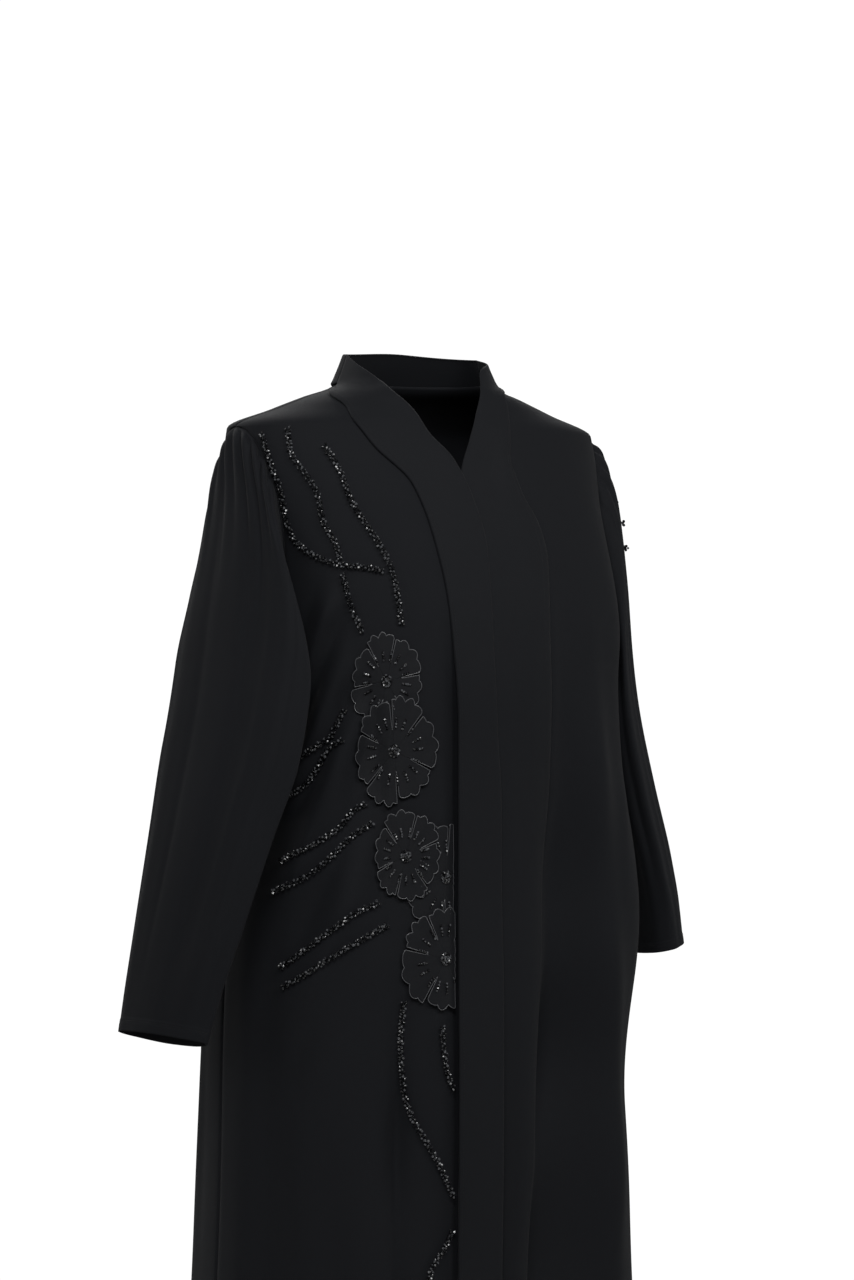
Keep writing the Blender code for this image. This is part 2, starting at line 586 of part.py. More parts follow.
def grid_normals(points, centres):
    """Unit normals of a tube's grid, pointing away from the section centres."""
    round_tube = np.roll(points, -1, axis=1) - np.roll(points, 1, axis=1)
    along = np.gradient(points, axis=0)
    normal = np.cross(round_tube, along)
    normal /= np.linalg.norm(normal, axis=-1, keepdims=True)
    outward = ((points - centres[:, None]) * normal).sum(axis=-1).mean()
    return normal * np.sign(outward)


def sleeve_relief(rows, round_angle):
    """Gathers that swell below the head seam and die away, and long folds down to the cuff."""
    total = np.zeros((len(rows), len(round_angle)))
    strength = 0.35 + 0.65 * ease(rows / 1.5)
    strength = strength * (1.0 - ease((rows - 2.0) / 4.5))
    for place, centre in enumerate(GATHERS):
        off = (round_angle - centre + 180.0) % 360.0 - 180.0
        size = GATHER_HEIGHT * (1.0 if place % 2 else 0.75)
        total += size * strength[:, None] * np.exp(-((off / GATHER_WIDTH) ** 2))
    for centre, first, last, out, half_width in SLEEVE_FOLDS:
        off = (round_angle - centre + 180.0) % 360.0 - 180.0
        reach = ease((rows - first) / 2.0) * (1.0 - 0.6 * ease((rows - last + 1.0) / 2.0))
        total += out * reach[:, None] * np.exp(-((off / half_width) ** 2))
    return total


SLEEVE_SECTIONS = np.array([0.0, 0.4, 1.0, 1.7, 2.5, 3.4, 4.3, 5.2, 6.2, 7.2, 8.2, 9.1, 10.0])


def sleeve_solid(name, table, side, look):
    """One sleeve as a tube from the armhole to the cuff."""
    columns = sleeve_columns()
    smooth_points, centres = sleeve_grid(table, side, SLEEVE_SECTIONS, columns)
    relief = sleeve_relief(SLEEVE_SECTIONS, columns)
    relief[0] = 0.0
    outer = smooth_points + grid_normals(smooth_points, centres) * relief[..., None]
    inner = outer - grid_normals(outer, centres) * SLEEVE_WALL
    return wall_solid(name, outer, inner, look, ring=True)


def lay_on(solid, points, normals, lift):
    """Drops points on to a solid's faces along their normals and lifts them again."""
    mesh = solid.data
    tree = BVHTree.FromPolygons([v.co for v in mesh.vertices], [tuple(p.vertices) for p in mesh.polygons])
    laid = np.empty_like(points)
    flat_points, flat_normals = points.reshape(-1, 3), normals.reshape(-1, 3)
    reach = LAY_REACH * CM
    for number, (point, normal) in enumerate(zip(flat_points, flat_normals)):
        start = Vector(point * CM) + Vector(normal) * reach
        hit = tree.ray_cast(start, -Vector(normal), 2.0 * reach)[0]
        laid.reshape(-1, 3)[number] = point if hit is None else np.array(hit) / CM
    return laid + normals * lift


def strand_solid(name, centre, normals, carrier, lift, look):
    """A low rib with a domed section along a close line of points over a carrier. Every third
    point is kept, at the highest level that its neighbours need to clear the carrier's faces."""
    along = np.gradient(centre, axis=0)
    along /= np.linalg.norm(along, axis=-1, keepdims=True)
    side = np.cross(normals, along)
    half = STRAND_WIDTH / 2.0
    feet = np.stack([centre - side * half, centre, centre + side * half], axis=1)
    laid = lay_on(carrier, feet, np.repeat(normals[:, None], 3, axis=1), lift)
    need = ((laid - centre[:, None]) * normals[:, None]).sum(axis=-1).max(axis=1)
    padded = np.pad(need, 2, mode="edge")
    level = np.max([padded[shift : shift + len(need)] for shift in range(5)], axis=0)
    centre, side, normals, level = centre[::3], side[::3], normals[::3], level[::3]
    # place across, height above the base
    section = ((-1.0, 0.0), (-0.8, 0.65), (0.0, 1.0), (0.8, 0.65), (1.0, 0.0))
    rows = [
        centre + side * half * place + normals * (level + STRAND_HEIGHT * high)[:, None]
        for place, high in section
    ]
    grid = np.stack(rows, axis=1)
    count, width = grid.shape[:2]
    number = np.arange(count * width).reshape(count, width)
    faces = []
    for row in range(count - 1):
        ring = np.append(number[row], number[row, 0])
        faces += strip_faces(ring, np.append(number[row + 1], number[row + 1, 0]))
    faces.append(tuple(number[0][::-1]))
    faces.append(tuple(number[-1]))
    return add_solid(name, grid.reshape(-1, 3), faces, look)


def front_strand(name, drawn, carrier, look):
    """A beaded strand drawn on the sheet and laid on the right front."""
    drawn = np.array(drawn)
    knots = np.concatenate([[0.0], np.cumsum(np.linalg.norm(np.diff(drawn, axis=0), axis=1))])
    count = 3 * int(knots[-1] / STRAND_STEP) + 1
    line = smooth(knots, drawn, np.linspace(0.0, knots[-1], count))
    angle, height = under_sheet(right_front, line[:, 0], line[:, 1])
    normals = facing(right_front, angle, height)
    strand_solid(name, right_front(angle, height), normals, carrier, STRAND_LIFT, look)


def sleeve_strand(name, height, first, last, carrier, look):
    """A short beaded row round the outer side of the left sleeve, at one height."""
    degrees = np.linspace(first, last, 37)
    rows = np.linspace(0.8, 6.0, 105)
    points, centres = sleeve_grid(LEFT_SLEEVE, 0.0, rows, degrees)
    round_tube = np.gradient(points, axis=1)
    normal = np.cross(round_tube, np.gradient(points, axis=0))
    normal /= np.linalg.norm(normal, axis=-1, keepdims=True)
    normal *= np.sign(((points - centres[:, None]) * normal).sum(axis=-1).mean())
    pick = np.abs(points[..., 2] - height).argmin(axis=0)
    column = np.arange(len(degrees))
    strand_solid(name, points[pick, column], normal[pick, column], carrier, ROW_LIFT, look)


def flower_solid(name, across, height, radius, layer, turn, carrier, look):
    """An applique flower: a thin disc whose rim waves in petals, with a raised heart. Its rim stops
    short of the band."""
    degrees = np.radians(np.linspace(0.0, 360.0, PETAL_POINTS, endpoint=False))
    lobe = np.abs(np.cos(PETALS / 2.0 * degrees + np.radians(turn))) ** 0.55
    rim = radius * (1.0 - PETAL_NOTCH * (1.0 - lobe))
    seam_down, seam_across = [-row[1] for row in RIGHT_BAND], [row[0] for row in RIGHT_BAND]
    limit = np.interp(-height - radius * np.sin(degrees), seam_down, seam_across)
    room = (limit - BAND_CLEARANCE - across) / (FLOWER_NARROW * np.maximum(np.cos(degrees), 0.05))
    rim = np.minimum(rim, room)
    reach = rim[None] * np.array(PETAL_RINGS)[:, None]
    reach[0] = FLOWER_HEART
    x, z = across + reach * FLOWER_NARROW * np.cos(degrees), height + reach * np.sin(degrees)
    angle, level = under_sheet(right_front, x, z)
    point, normal = right_front(angle, level), facing(right_front, angle, level)
    lower = lay_on(carrier, point, normal, PETAL_LIFT[layer])
    upper = lower + normal * PETAL_WALL
    heart_angle, heart_level = under_sheet(right_front, np.array([across]), np.array([height]))
    heart, heart_normal = right_front(heart_angle, heart_level), facing(right_front, heart_angle, heart_level)
    heart_low = lay_on(carrier, heart, heart_normal, PETAL_LIFT[layer])
    heart_top = heart_low + heart_normal * (PETAL_WALL + FLOWER_HEART_HEIGHT)
    count = upper.shape[0] * PETAL_POINTS
    number = np.arange(count).reshape(upper.shape[0], PETAL_POINTS)
    number = np.hstack([number, number[:, :1]])
    under = number + count
    faces = strip_faces(under[-1], number[-1])
    for row in range(len(number) - 1):
        faces += strip_faces(number[row + 1], number[row])
        faces += strip_faces(under[row], under[row + 1])
    faces += [(a, b, 2 * count) for a, b in zip(number[0][:-1], number[0][1:])]
    faces += [(a, b, 2 * count + 1) for a, b in zip(under[0][1:], under[0][:-1])]
    points = np.vstack([upper.reshape(-1, 3), lower.reshape(-1, 3), heart_top, heart_low])
    return add_solid(name, points, faces, look)


def main():
    for old in list(bpy.data.objects):
        bpy.data.objects.remove(old, do_unlink=True)
    crepe = material("crepe", (0.012, 0.012, 0.014), 0.75)
    band_crepe = material("band_crepe", (0.014, 0.014, 0.016), 0.7)
    satin = material("satin", (0.03, 0.03, 0.033), 0.4)
    beads = material("beads", (0.01, 0.01, 0.012), 0.15)

    right = front_solid(
        "front_right", right_front, RIGHT_SEAM, RIGHT_EDGE, RIGHT_TUCK, 180.0, -1.0, 1.35, crepe
    )
    front_solid("front_left", body, LEFT_SEAM, LEFT_EDGE, LEFT_TUCK, 0.0, 1.0, 1.15, crepe)
    back_solid(crepe)
    front_bands(band_crepe)
    neck_band(band_crepe)
    sleeve_solid("sleeve_right", RIGHT_SLEEVE, 180.0, crepe)
    left_sleeve = sleeve_solid("sleeve_left", LEFT_SLEEVE, 0.0, crepe)
    for name, drawn in FRONT_STRANDS.items():
        front_strand(name, drawn, right, beads)
    for number, (height, first, last) in enumerate(SLEEVE_ROWS, 1):
        sleeve_strand(f"strand_sleeve_{number}", height, first, last, left_sleeve, beads)
    for number, row in enumerate(FLOWERS, 1):
        flower_solid(f"flower_{number}", *row, right, satin)


main()
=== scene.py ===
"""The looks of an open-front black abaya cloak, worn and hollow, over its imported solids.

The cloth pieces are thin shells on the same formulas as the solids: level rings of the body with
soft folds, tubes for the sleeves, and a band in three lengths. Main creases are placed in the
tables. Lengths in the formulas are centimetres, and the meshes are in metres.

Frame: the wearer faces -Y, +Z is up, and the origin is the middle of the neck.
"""

import bpy
import numpy as np
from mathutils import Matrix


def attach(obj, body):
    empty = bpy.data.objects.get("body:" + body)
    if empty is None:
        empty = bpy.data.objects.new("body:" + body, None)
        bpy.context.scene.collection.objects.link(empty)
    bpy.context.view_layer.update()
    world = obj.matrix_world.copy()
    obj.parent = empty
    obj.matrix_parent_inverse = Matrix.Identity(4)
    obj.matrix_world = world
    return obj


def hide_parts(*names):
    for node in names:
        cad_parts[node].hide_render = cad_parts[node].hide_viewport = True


CM = 0.01

# The cut
LENGTH = 139.5  # neck point to hem
SHOULDER_DROP = 4.5
UNDERARM = 28.0
BAND_LIFT = 0.07
BAND_WALL = 0.2
NECK_LIFT = 0.03
BAND_HEIGHT_AT_NECK = 3.0
BAND_HEIGHT_AT_BACK = 3.6
CLOTH = 0.0011  # thickness of one layer, metres
BAND_CLOTH = 0.0013
STITCH_STEP = 0.32
STITCH_SIZE = (0.115, 0.03, 0.022)  # half its length, width and height
HEM = 1.1  # depth of the turned hem
HEM_TOP = -135.0  # a crease that ends below this runs out at the hem

# Level rings of the body: height, half width, front depth, back depth, y of the middle
BODY_RINGS = (
    (3.6, 7.0, 5.4, 3.9, 1.5),
    (1.2, 7.9, 6.4, 4.9, 1.5),
    (0.0, 8.5, 7.0, 5.5, 1.5),
    (-1.2, 11.8, 7.4, 7.2, 1.5),
    (-2.5, 15.2, 7.9, 8.6, 1.5),
    (-SHOULDER_DROP, 20.0, 9.0, 9.9, 1.4),
    (-8.0, 20.2, 10.8, 11.3, 1.3),
    (-12.0, 19.8, 12.3, 12.2, 1.2),
    (-18.0, 19.0, 13.9, 12.9, 1.1),
    (-24.0, 18.2, 14.8, 13.0, 1.0),
    (-30.0, 17.6, 15.1, 12.7, 0.9),
    (-38.0, 18.2, 14.9, 12.5, 0.8),
    (-48.0, 20.2, 14.9, 13.0, 0.7),
    (-60.0, 21.6, 15.3, 14.3, 0.6),
    (-75.0, 22.0, 15.8, 15.3, 0.6),
    (-90.0, 22.6, 16.1, 15.8, 0.6),
    (-115.0, 24.2, 17.0, 17.0, 0.6),
    (-LENGTH, 26.0, 18.2, 18.4, 0.6),
)
RING_SQUARENESS = 2.25

# Folds of the body: angle at the top, angle at the foot, top height, foot height, how far it
# stands out, half width. Angles run from the wearer's left side (0) over the front (90).
BODY_FOLDS = (
    (26.0, 30.0, -7.0, -72.0, 2.9, 4.4),
    (33.0, 36.0, -58.0, -LENGTH, 0.7, 3.6),
    (44.0, 46.0, -14.0, -96.0, 0.75, 2.4),
    (60.0, 56.0, -22.0, -LENGTH, -0.8, 4.2),
    (14.0, 10.0, -36.0, -LENGTH, -0.9, 3.4),
    (150.0, 136.0, -20.0, -62.0, 0.6, 2.6),
    (141.0, 127.0, -24.0, -58.0, -0.5, 2.2),
    (112.0, 112.0, -64.0, -LENGTH, -0.9, 3.4),
    (128.0, 126.0, -70.0, -LENGTH, 0.6, 4.0),
    (160.0, 158.0, -52.0, -LENGTH, -0.7, 3.2),
    (208.0, 200.0, -30.0, -LENGTH, 0.9, 3.6),
    (226.0, 224.0, -18.0, -LENGTH, -0.7, 3.6),
    (246.0, 248.0, -34.0, -LENGTH, 0.8, 4.0),
    (270.0, 270.0, -50.0, -LENGTH, -0.8, 4.4),
    (294.0, 292.0, -30.0, -LENGTH, 0.8, 4.0),
    (315.0, 318.0, -20.0, -LENGTH, -0.7, 3.6),
    (334.0, 340.0, -30.0, -LENGTH, 0.9, 3.4),
)
FOLD_RADIUS = 18.0
HEM_WAVES = 9
HEM_WAVE_HEIGHT = 0.5
HEM_WAVE_TOP = -70.0

# Slighter creases of the fronts, drawn on the sheet of the trim: out, half width, then the line
DRAWN_CREASES = (
    (-0.3, 1.1, ((-9.5, -17.3), (-12.0, -25.3), (-14.6, -33.0))),
    (0.55, 1.2, ((-8.2, -19.0), (-10.9, -27.5), (-13.6, -36.0))),
    (-0.8, 1.0, ((-7.0, -20.6), (-9.2, -26.0), (-11.4, -31.5), (-13.9, -38.5))),
    (0.65, 1.3, ((-6.6, -24.5), (-9.0, -31.0), (-11.6, -37.5), (-14.0, -44.0))),
    (-0.75, 1.0, ((-6.4, -28.0), (-7.8, -32.0), (-10.0, -37.3), (-13.6, -45.0))),
    (0.65, 1.3, ((-5.2, -30.0), (-8.0, -37.3), (-11.2, -45.3), (-14.2, -54.0))),
    (-0.65, 1.4, ((-4.4, -31.0), (-5.9, -37.3), (-7.6, -45.3), (-11.2, -53.3), (-14.2, -62.0))),
    (0.45, 1.4, ((-3.6, -40.0), (-6.4, -49.0), (-9.4, -57.0), (-12.6, -65.0))),
    (-0.35, 1.3, ((-6.6, -52.0), (-9.4, -60.0), (-12.0, -67.0), (-14.4, -74.0))),
    (-0.3, 1.5, ((-14.9, -44.0), (-15.1, -66.0), (-15.3, -92.0), (-15.5, -120.0))),
    (0.3, 1.8, ((-12.6, -66.0), (-12.0, -84.0), (-11.8, -104.0))),
    (-1.5, 1.3, ((-1.4, -56.0), (-1.9, -72.0), (-2.0, -98.0), (-2.5, -146.0))),
    (0.3, 1.8, ((-5.6, -68.0), (-5.8, -92.0), (-6.2, -122.0))),
    (-0.2, 1.5, ((-8.6, -74.0), (-8.8, -100.0), (-9.2, -128.0))),
    (-1.6, 3.6, ((14.4, -26.0), (14.6, -44.0), (14.4, -62.0), (13.8, -76.0), (13.0, -146.0))),
    (-1.6, 1.7, ((13.6, -40.0), (13.7, -62.0), (13.0, -76.0), (12.4, -100.0), (12.2, -146.0))),
    (1.2, 1.8, ((16.6, -14.0), (17.6, -36.0), (18.6, -52.0), (19.2, -66.0), (19.6, -146.0))),
    (-0.16, 1.0, ((-5.8, -25.0), (-4.2, -36.0), (-3.4, -52.0))),
    (0.16, 0.9, ((20.2, -37.3), (20.6, -45.0), (20.8, -54.0))),
    (-0.16, 1.1, ((13.6, -13.0), (14.2, -26.0), (14.4, -44.0))),
)
# Slighter creases of the back: angle at the top, angle at the foot, top, foot, out, half width,
# wander
BACK_CREASES = (
    (197.0, 192.0, -28.0, -96.0, -0.22, 1.3, 0.6),
    (217.0, 213.0, -22.0, -LENGTH, 0.18, 1.2, 0.8),
    (234.0, 240.0, -30.0, -118.0, 0.16, 1.1, -0.7),
    (238.0, 257.0, -14.0, -58.0, -0.18, 1.2, 0.5),
    (258.0, 260.0, -56.0, -LENGTH, -0.18, 1.4, 0.9),
    (283.0, 281.0, -40.0, -LENGTH, 0.2, 1.2, -0.8),
    (302.0, 286.0, -14.0, -56.0, -0.18, 1.2, -0.5),
    (304.0, 304.0, -62.0, -LENGTH, -0.16, 1.3, 0.7),
    (325.0, 329.0, -26.0, -112.0, 0.2, 1.2, 0.8),
    (345.0, 350.0, -30.0, -104.0, -0.22, 1.3, -0.6),
    (172.0, 166.0, -40.0, -LENGTH, 0.16, 1.2, 0.6),
    (20.0, 20.0, -78.0, -LENGTH, -0.2, 1.5, 0.7),
    (6.0, 4.0, -34.0, -90.0, 0.2, 1.2, -0.5),
)

# The sheet that the trim is drawn on: a plane through the neck, seen from the wearer's right front
VIEW_TURN = np.radians(30.0)
FLOOR_LEVEL = -143.0
VIEW_DISTANCE = 350.0
HALF_FRAME = 0.64  # metres from the middle of the frame to its top
VIEW_HEIGHT = -25.3

# Band edges from the neck point to the hem: seam across, seam height, free edge across, height
RIGHT_BAND = (
    (-7.5, -1.9, -4.7, 1.2),
    (-6.5, -3.6, -2.8, -0.4),
    (-4.2, -6.4, -0.7, -2.3),
    (-2.4, -8.0, 1.0, -4.8),
    (-1.1, -9.3, 3.2, -7.1),
    (0.5, -12.5, 5.2, -11.0),
    (1.7, -16.4, 6.6, -15.8),
    (2.6, -20.4, 7.0, -20.4),
    (3.3, -26.0, 7.3, -26.0),
    (3.8, -34.3, 7.7, -34.3),
    (3.8, -42.0, 8.1, -42.0),
    (3.8, -55.0, 8.2, -55.0),
    (3.8, -89.0, 8.2, -89.0),
    (3.8, -118.0, 8.2, -118.0),
    (3.6, -143.5, 8.2, -143.5),
)
LEFT_BAND = (
    (8.4, -0.9, 5.9, 1.6),
    (8.8, -2.6, 5.9, 0.2),
    (9.0, -5.2, 5.7, -2.0),
    (9.2, -8.1, 5.0, -5.2),
    (10.2, -10.6, 4.2, -8.2),
    (11.9, -13.8, 3.9, -12.2),
    (12.7, -16.6, 4.3, -16.6),
    (13.0, -26.0, 5.2, -26.0),
    (13.1, -41.0, 5.6, -41.0),
    (12.5, -61.0, 5.7, -61.0),
    (11.4, -89.0, 5.7, -89.0),
    (10.8, -118.0, 5.7, -118.0),
    (10.4, -143.5, 5.7, -143.5),
)
RIGHT_TUCK = 0.17
LEFT_TUCK = 0.09
UNDERLAP_DROP = 0.33
GROOVE_DEPTH = 0.5
GROOVE_WIDTH = 1.5
GROOVE_TOP = -22.0
GROOVE_FULL = -34.0
CREVICE_DEPTH = 0.25
CREVICE_WIDTH = 0.5
LEFT_SINK = 0.95  # how far the left front falls back beside the right band's free edge
LEFT_SINK_WIDTH = 3.0
LEFT_SINK_TOP = -34.0
LEFT_SINK_FULL = -80.0
LEFT_CREVICE = 0.22
EDGE_DIP = 0.2  # how far the under band dips below the upper band's free edge
EDGE_DIP_WIDTH = 0.4
EDGE_DIP_TOP = -26.0
ARMHOLE_FRONT = 18.0  # degrees that an armhole cuts into the front
ARMHOLE_BACK = 14.0
RIGHT_SIDE = 180.0  # the angle of each side seam
LEFT_SIDE = 0.0
RIGHT_SEED = 1.0  # shifts the unevenness of each sleeve
LEFT_SEED = 4.0
SECTION_STEP = 5.0  # centimetres between two sections of a sleeve near its cuff

# Sleeve sections: outer x, outer z, inner x, inner z, y of the middle, half length, turn
RIGHT_SLEEVE = (
    (20.4, -5.3, 18.2, -29.0, 0.7, 5.6, 3.0),
    (20.8, -7.6, 18.5, -30.2, 0.0, 6.3, 7.0),
    (21.2, -11.5, 18.8, -31.8, -1.1, 7.2, 12.0),
    (21.9, -17.0, 19.3, -34.0, -2.2, 8.2, 17.0),
    (23.2, -24.5, 19.9, -37.0, -3.0, 8.9, 20.0),
    (25.0, -33.0, 20.9, -41.0, -3.5, 8.8, 20.0),
    (27.2, -42.0, 22.5, -46.5, -3.3, 7.9, 19.0),
    (29.3, -51.5, 24.4, -54.0, -2.7, 7.1, 17.0),
    (30.6, -57.5, 25.7, -59.5, -2.2, 6.4, 16.0),
    (31.6, -62.6, 26.4, -64.2, -1.7, 5.9, 15.0),
)
LEFT_SLEEVE = (
    (20.9, -5.2, 18.25, -29.0, 1.2, 5.9, 2.0),
    (21.8, -7.4, 18.6, -30.0, 1.3, 6.6, 4.0),
    (22.5, -11.5, 18.9, -31.4, 1.4, 7.3, 6.0),
    (23.2, -17.0, 19.2, -33.4, 1.5, 7.9, 8.0),
    (24.0, -24.0, 19.6, -35.8, 1.6, 8.3, 10.0),
    (25.2, -31.5, 20.3, -38.8, 1.5, 8.1, 11.0),
    (27.0, -39.5, 21.6, -43.6, 1.2, 7.7, 11.0),
    (28.9, -47.0, 23.4, -49.4, 0.8, 7.3, 11.0),
    (29.9, -52.0, 24.4, -53.8, 0.6, 6.9, 10.0),
    (30.4, -56.2, 24.9, -57.6, 0.4, 6.7, 10.0),
)
RIGHT_TUBE = (RIGHT_SLEEVE, RIGHT_SIDE, RIGHT_SEED)
LEFT_TUBE = (LEFT_SLEEVE, LEFT_SIDE, LEFT_SEED)
HEAD_FADE = 3.0
GATHERS = (-52.0, -37.0, -23.0, -10.0, 4.0, 17.0, 30.0, 44.0, 58.0)
GATHER_HEIGHT = 0.34
GATHER_WIDTH = 4.2
SLEEVE_FOLDS = (
    (26.0, 1.0, 8.5, -0.55, 9.0),
    (50.0, 1.5, 9.0, 0.45, 10.0),
    (74.0, 3.0, 9.5, -0.5, 9.0),
    (120.0, 3.0, 9.5, 0.4, 13.0),
    (205.0, 3.0, 9.5, -0.35, 14.0),
    (250.0, 2.0, 9.0, 0.45, 12.0),
    (285.0, 1.5, 9.0, -0.5, 10.0),
    (322.0, 1.0, 8.5, 0.45, 10.0),
)
# A sleeve's seam allowance: how far it goes in under the panels, and how deep
ALLOWANCE = 0.7
ALLOWANCE_DEPTH = 0.32
# How far a sleeve falls in between its front and its underarm
RIGHT_FRONT_FOLD = 2.6
LEFT_FRONT_FOLD = 0.6
# Fine pleats between the gathers: degrees round, how far they reach down, out, half width
FINE_PLEATS = (
    (-58.0, 2.2, 0.1, 1.8),
    (-45.0, 3.4, -0.13, 2.1),
    (-30.5, 4.2, -0.15, 2.2),
    (-16.0, 5.2, -0.17, 2.2),
    (-3.0, 4.4, -0.16, 2.0),
    (10.5, 5.6, -0.19, 2.1),
    (23.5, 6.4, -0.2, 2.3),
    (37.0, 5.0, -0.18, 2.2),
    (51.0, 4.0, -0.15, 2.2),
    (64.0, 3.0, 0.1, 2.0),
    (7.0, 2.4, 0.07, 1.2),
    (33.0, 2.6, 0.07, 1.3),
)
# Long slight creases of the sleeves: degrees at the top and foot, first and last section, out,
# half width
SLEEVE_CREASES = (
    (14.0, 20.0, 2.0, 9.8, -0.2, 4.6),
    (38.0, 34.0, 2.4, 8.8, 0.16, 4.0),
    (62.0, 58.0, 2.6, 9.6, -0.18, 4.4),
    (88.0, 96.0, 3.4, 9.9, 0.16, 5.0),
    (104.0, 110.0, 3.0, 8.8, -0.18, 5.0),
    (140.0, 132.0, 4.0, 9.6, -0.16, 5.0),
    (232.0, 226.0, 3.0, 9.4, -0.16, 5.0),
    (268.0, 262.0, 2.4, 9.6, 0.16, 4.6),
    (302.0, 300.0, 2.0, 9.0, 0.15, 4.2),
    (340.0, 344.0, 1.6, 9.4, -0.2, 4.6),
)

# Beaded ropes on the right front, as (across, height) on the sheet
FRONT_STRANDS = {
    "strand_shoulder_outer": (
        (-15.8, -4.5), (-14.7, -8.0), (-13.9, -10.1), (-13.3, -13.2), (-12.6, -15.0),
        (-11.2, -16.4), (-9.5, -17.3), (-7.9, -17.8), (-5.0, -18.1), (-3.7, -18.4),
    ),
    "strand_shoulder_middle": (
        (-13.2, -4.0), (-12.9, -6.4), (-11.3, -8.9), (-10.2, -10.7), (-9.7, -13.2),
        (-8.3, -15.9), (-7.95, -17.2),
    ),
    "strand_middle_foot": ((-7.7, -18.5), (-7.2, -20.7), (-6.4, -22.9), (-5.7, -24.5)),
    "strand_shoulder_inner": (
        (-9.7, -5.7), (-7.9, -8.6), (-7.0, -11.1), (-5.6, -13.4), (-4.1, -15.7), (-3.2, -17.3),
        (-2.5, -19.5), (-2.05, -22.2), (-1.85, -23.7),
    ),
    "strand_waist_1": ((-7.3, -32.1), (-8.7, -34.6), (-10.7, -36.1), (-12.9, -37.8)),
    "strand_waist_2": ((-7.4, -35.2), (-8.7, -36.0), (-9.8, -37.5), (-11.3, -39.6), (-12.9, -40.8)),
    "strand_hip_1": ((-5.2, -41.6), (-6.4, -42.2), (-8.4, -44.3), (-10.4, -45.6), (-13.8, -47.5)),
    "strand_hip_2": ((-4.6, -43.5), (-6.6, -44.9), (-8.7, -46.8), (-10.7, -48.5), (-14.5, -50.5)),
    "strand_thigh_1": ((-4.0, -51.5), (-6.3, -52.5), (-9.0, -54.5), (-11.3, -56.3), (-13.8, -58.0)),
    "strand_thigh_2": ((-3.1, -53.7), (-5.2, -54.9), (-8.7, -56.9), (-11.3, -58.7), (-13.6, -60.0)),
    "strand_trail": (
        (-1.6, -61.2), (-2.0, -65.3), (-1.7, -69.3), (-1.0, -72.3), (0.5, -75.3), (1.6, -77.3),
        (2.6, -79.5), (3.2, -80.9),
    ),
    "strand_trail_foot": (
        (3.2, -84.2), (2.4, -86.0), (1.1, -88.2), (0.5, -91.0), (0.2, -95.0), (-0.6, -99.5),
        (-2.2, -103.5), (-4.4, -107.0),
    ),
    "strand_trail_inner": ((2.15, -63.7), (2.3, -66.3), (2.7, -68.8), (3.2, -70.2)),
}
SLEEVE_ROWS = (
    (-11.2, -34.0, 30.0),
    (-13.4, -44.0, 44.0),
    (-15.9, -34.0, 46.0),
    (-18.2, -44.0, 34.0),
    (-20.7, -30.0, 28.0),
)
ROPE_CORDS = 3
ROPE_RADIUS = 0.18  # of the circle that the cords of beads wind round
ROPE_TURN = 2.1  # centimetres to one turn
BEAD_RADIUS = 0.16
BEAD_STEP = 0.4

# Flowers on the right front: across, height, radius, layer, turn
FLOWERS = (
    (-3.3, -29.4, 4.9, 0, 10.0),
    (-2.5, -36.4, 5.6, 1, 40.0),
    (-1.4, -46.9, 4.6, 1, 75.0),
    (2.6, -49.0, 6.0, 0, 20.0),
    (2.5, -57.2, 5.7, 1, 55.0),
)
FLOWER_NARROW = 0.8  # a round flower is so much narrower on the sheet, which the front turns from
PETALS = 6
PETAL_LIFT = (0.1, 0.29)
PETAL_SHEET = 0.0006  # thickness in metres
PETAL_WAVES = 3.4  # bumps on each petal's rim
PETAL_WAVE_HEIGHT = 0.075
PETAL_NOTCH = 0.045
SLIT_REACH = 0.45  # where a slit ends, as a share of the radius
SLIT_HALF = 1.3  # degrees
PETAL_MEAN = 0.94  # how far the middling petal reaches, as a share of the radius
EDGING_RADIUS = 0.04
DASHES = 17
DASH_PLACE = (0.43, 0.6)
HEART_BEADS = ((0.0, 1), (0.28, 6), (0.54, 11))
BAND_CLEARANCE = 0.35


def ease(x):
    """0 below 0, 1 above 1, and a smooth S between."""
    x = np.clip(x, 0.0, 1.0)
    return x * x * (3.0 - 2.0 * x)


def smooth(knots, values, at):
    """Cubic pieces through the rows of values, with a slope at each knot that is the harmonic mean
    of its two chords, and level where they differ in sign."""
    knots, values, at = np.asarray(knots, float), np.asarray(values, float), np.asarray(at, float)
    span = np.diff(knots)
    chord = np.diff(values, axis=0) / span[:, None]
    product = chord[:-1] * chord[1:]
    total = chord[:-1] + chord[1:]
    slope = np.vstack([chord[:1], np.zeros((len(span) - 1, values.shape[1])), chord[-1:]])
    slope[1:-1] = np.where(product > 0.0, 2.0 * product / np.where(total == 0.0, 1.0, total), 0.0)
    i = np.clip(np.searchsorted(knots, at, side="right") - 1, 0, len(span) - 1)
    h = span[i][..., None]
    u = (at - knots[i])[..., None] / h
    low, high = values[i], values[i + 1]
    start = (2 * u**3 - 3 * u**2 + 1) * low + (u**3 - 2 * u**2 + u) * h * slope[i]
    return start + (3 * u**2 - 2 * u**3) * high + (u**3 - u**2) * h * slope[i + 1]


RING_TABLE = np.array(BODY_RINGS)[::-1]


def way_round(angle, line):
    """Degrees from a line to an angle by the shorter way, from -180 to 180."""
    return (angle - line + 180.0) % 360.0 - 180.0


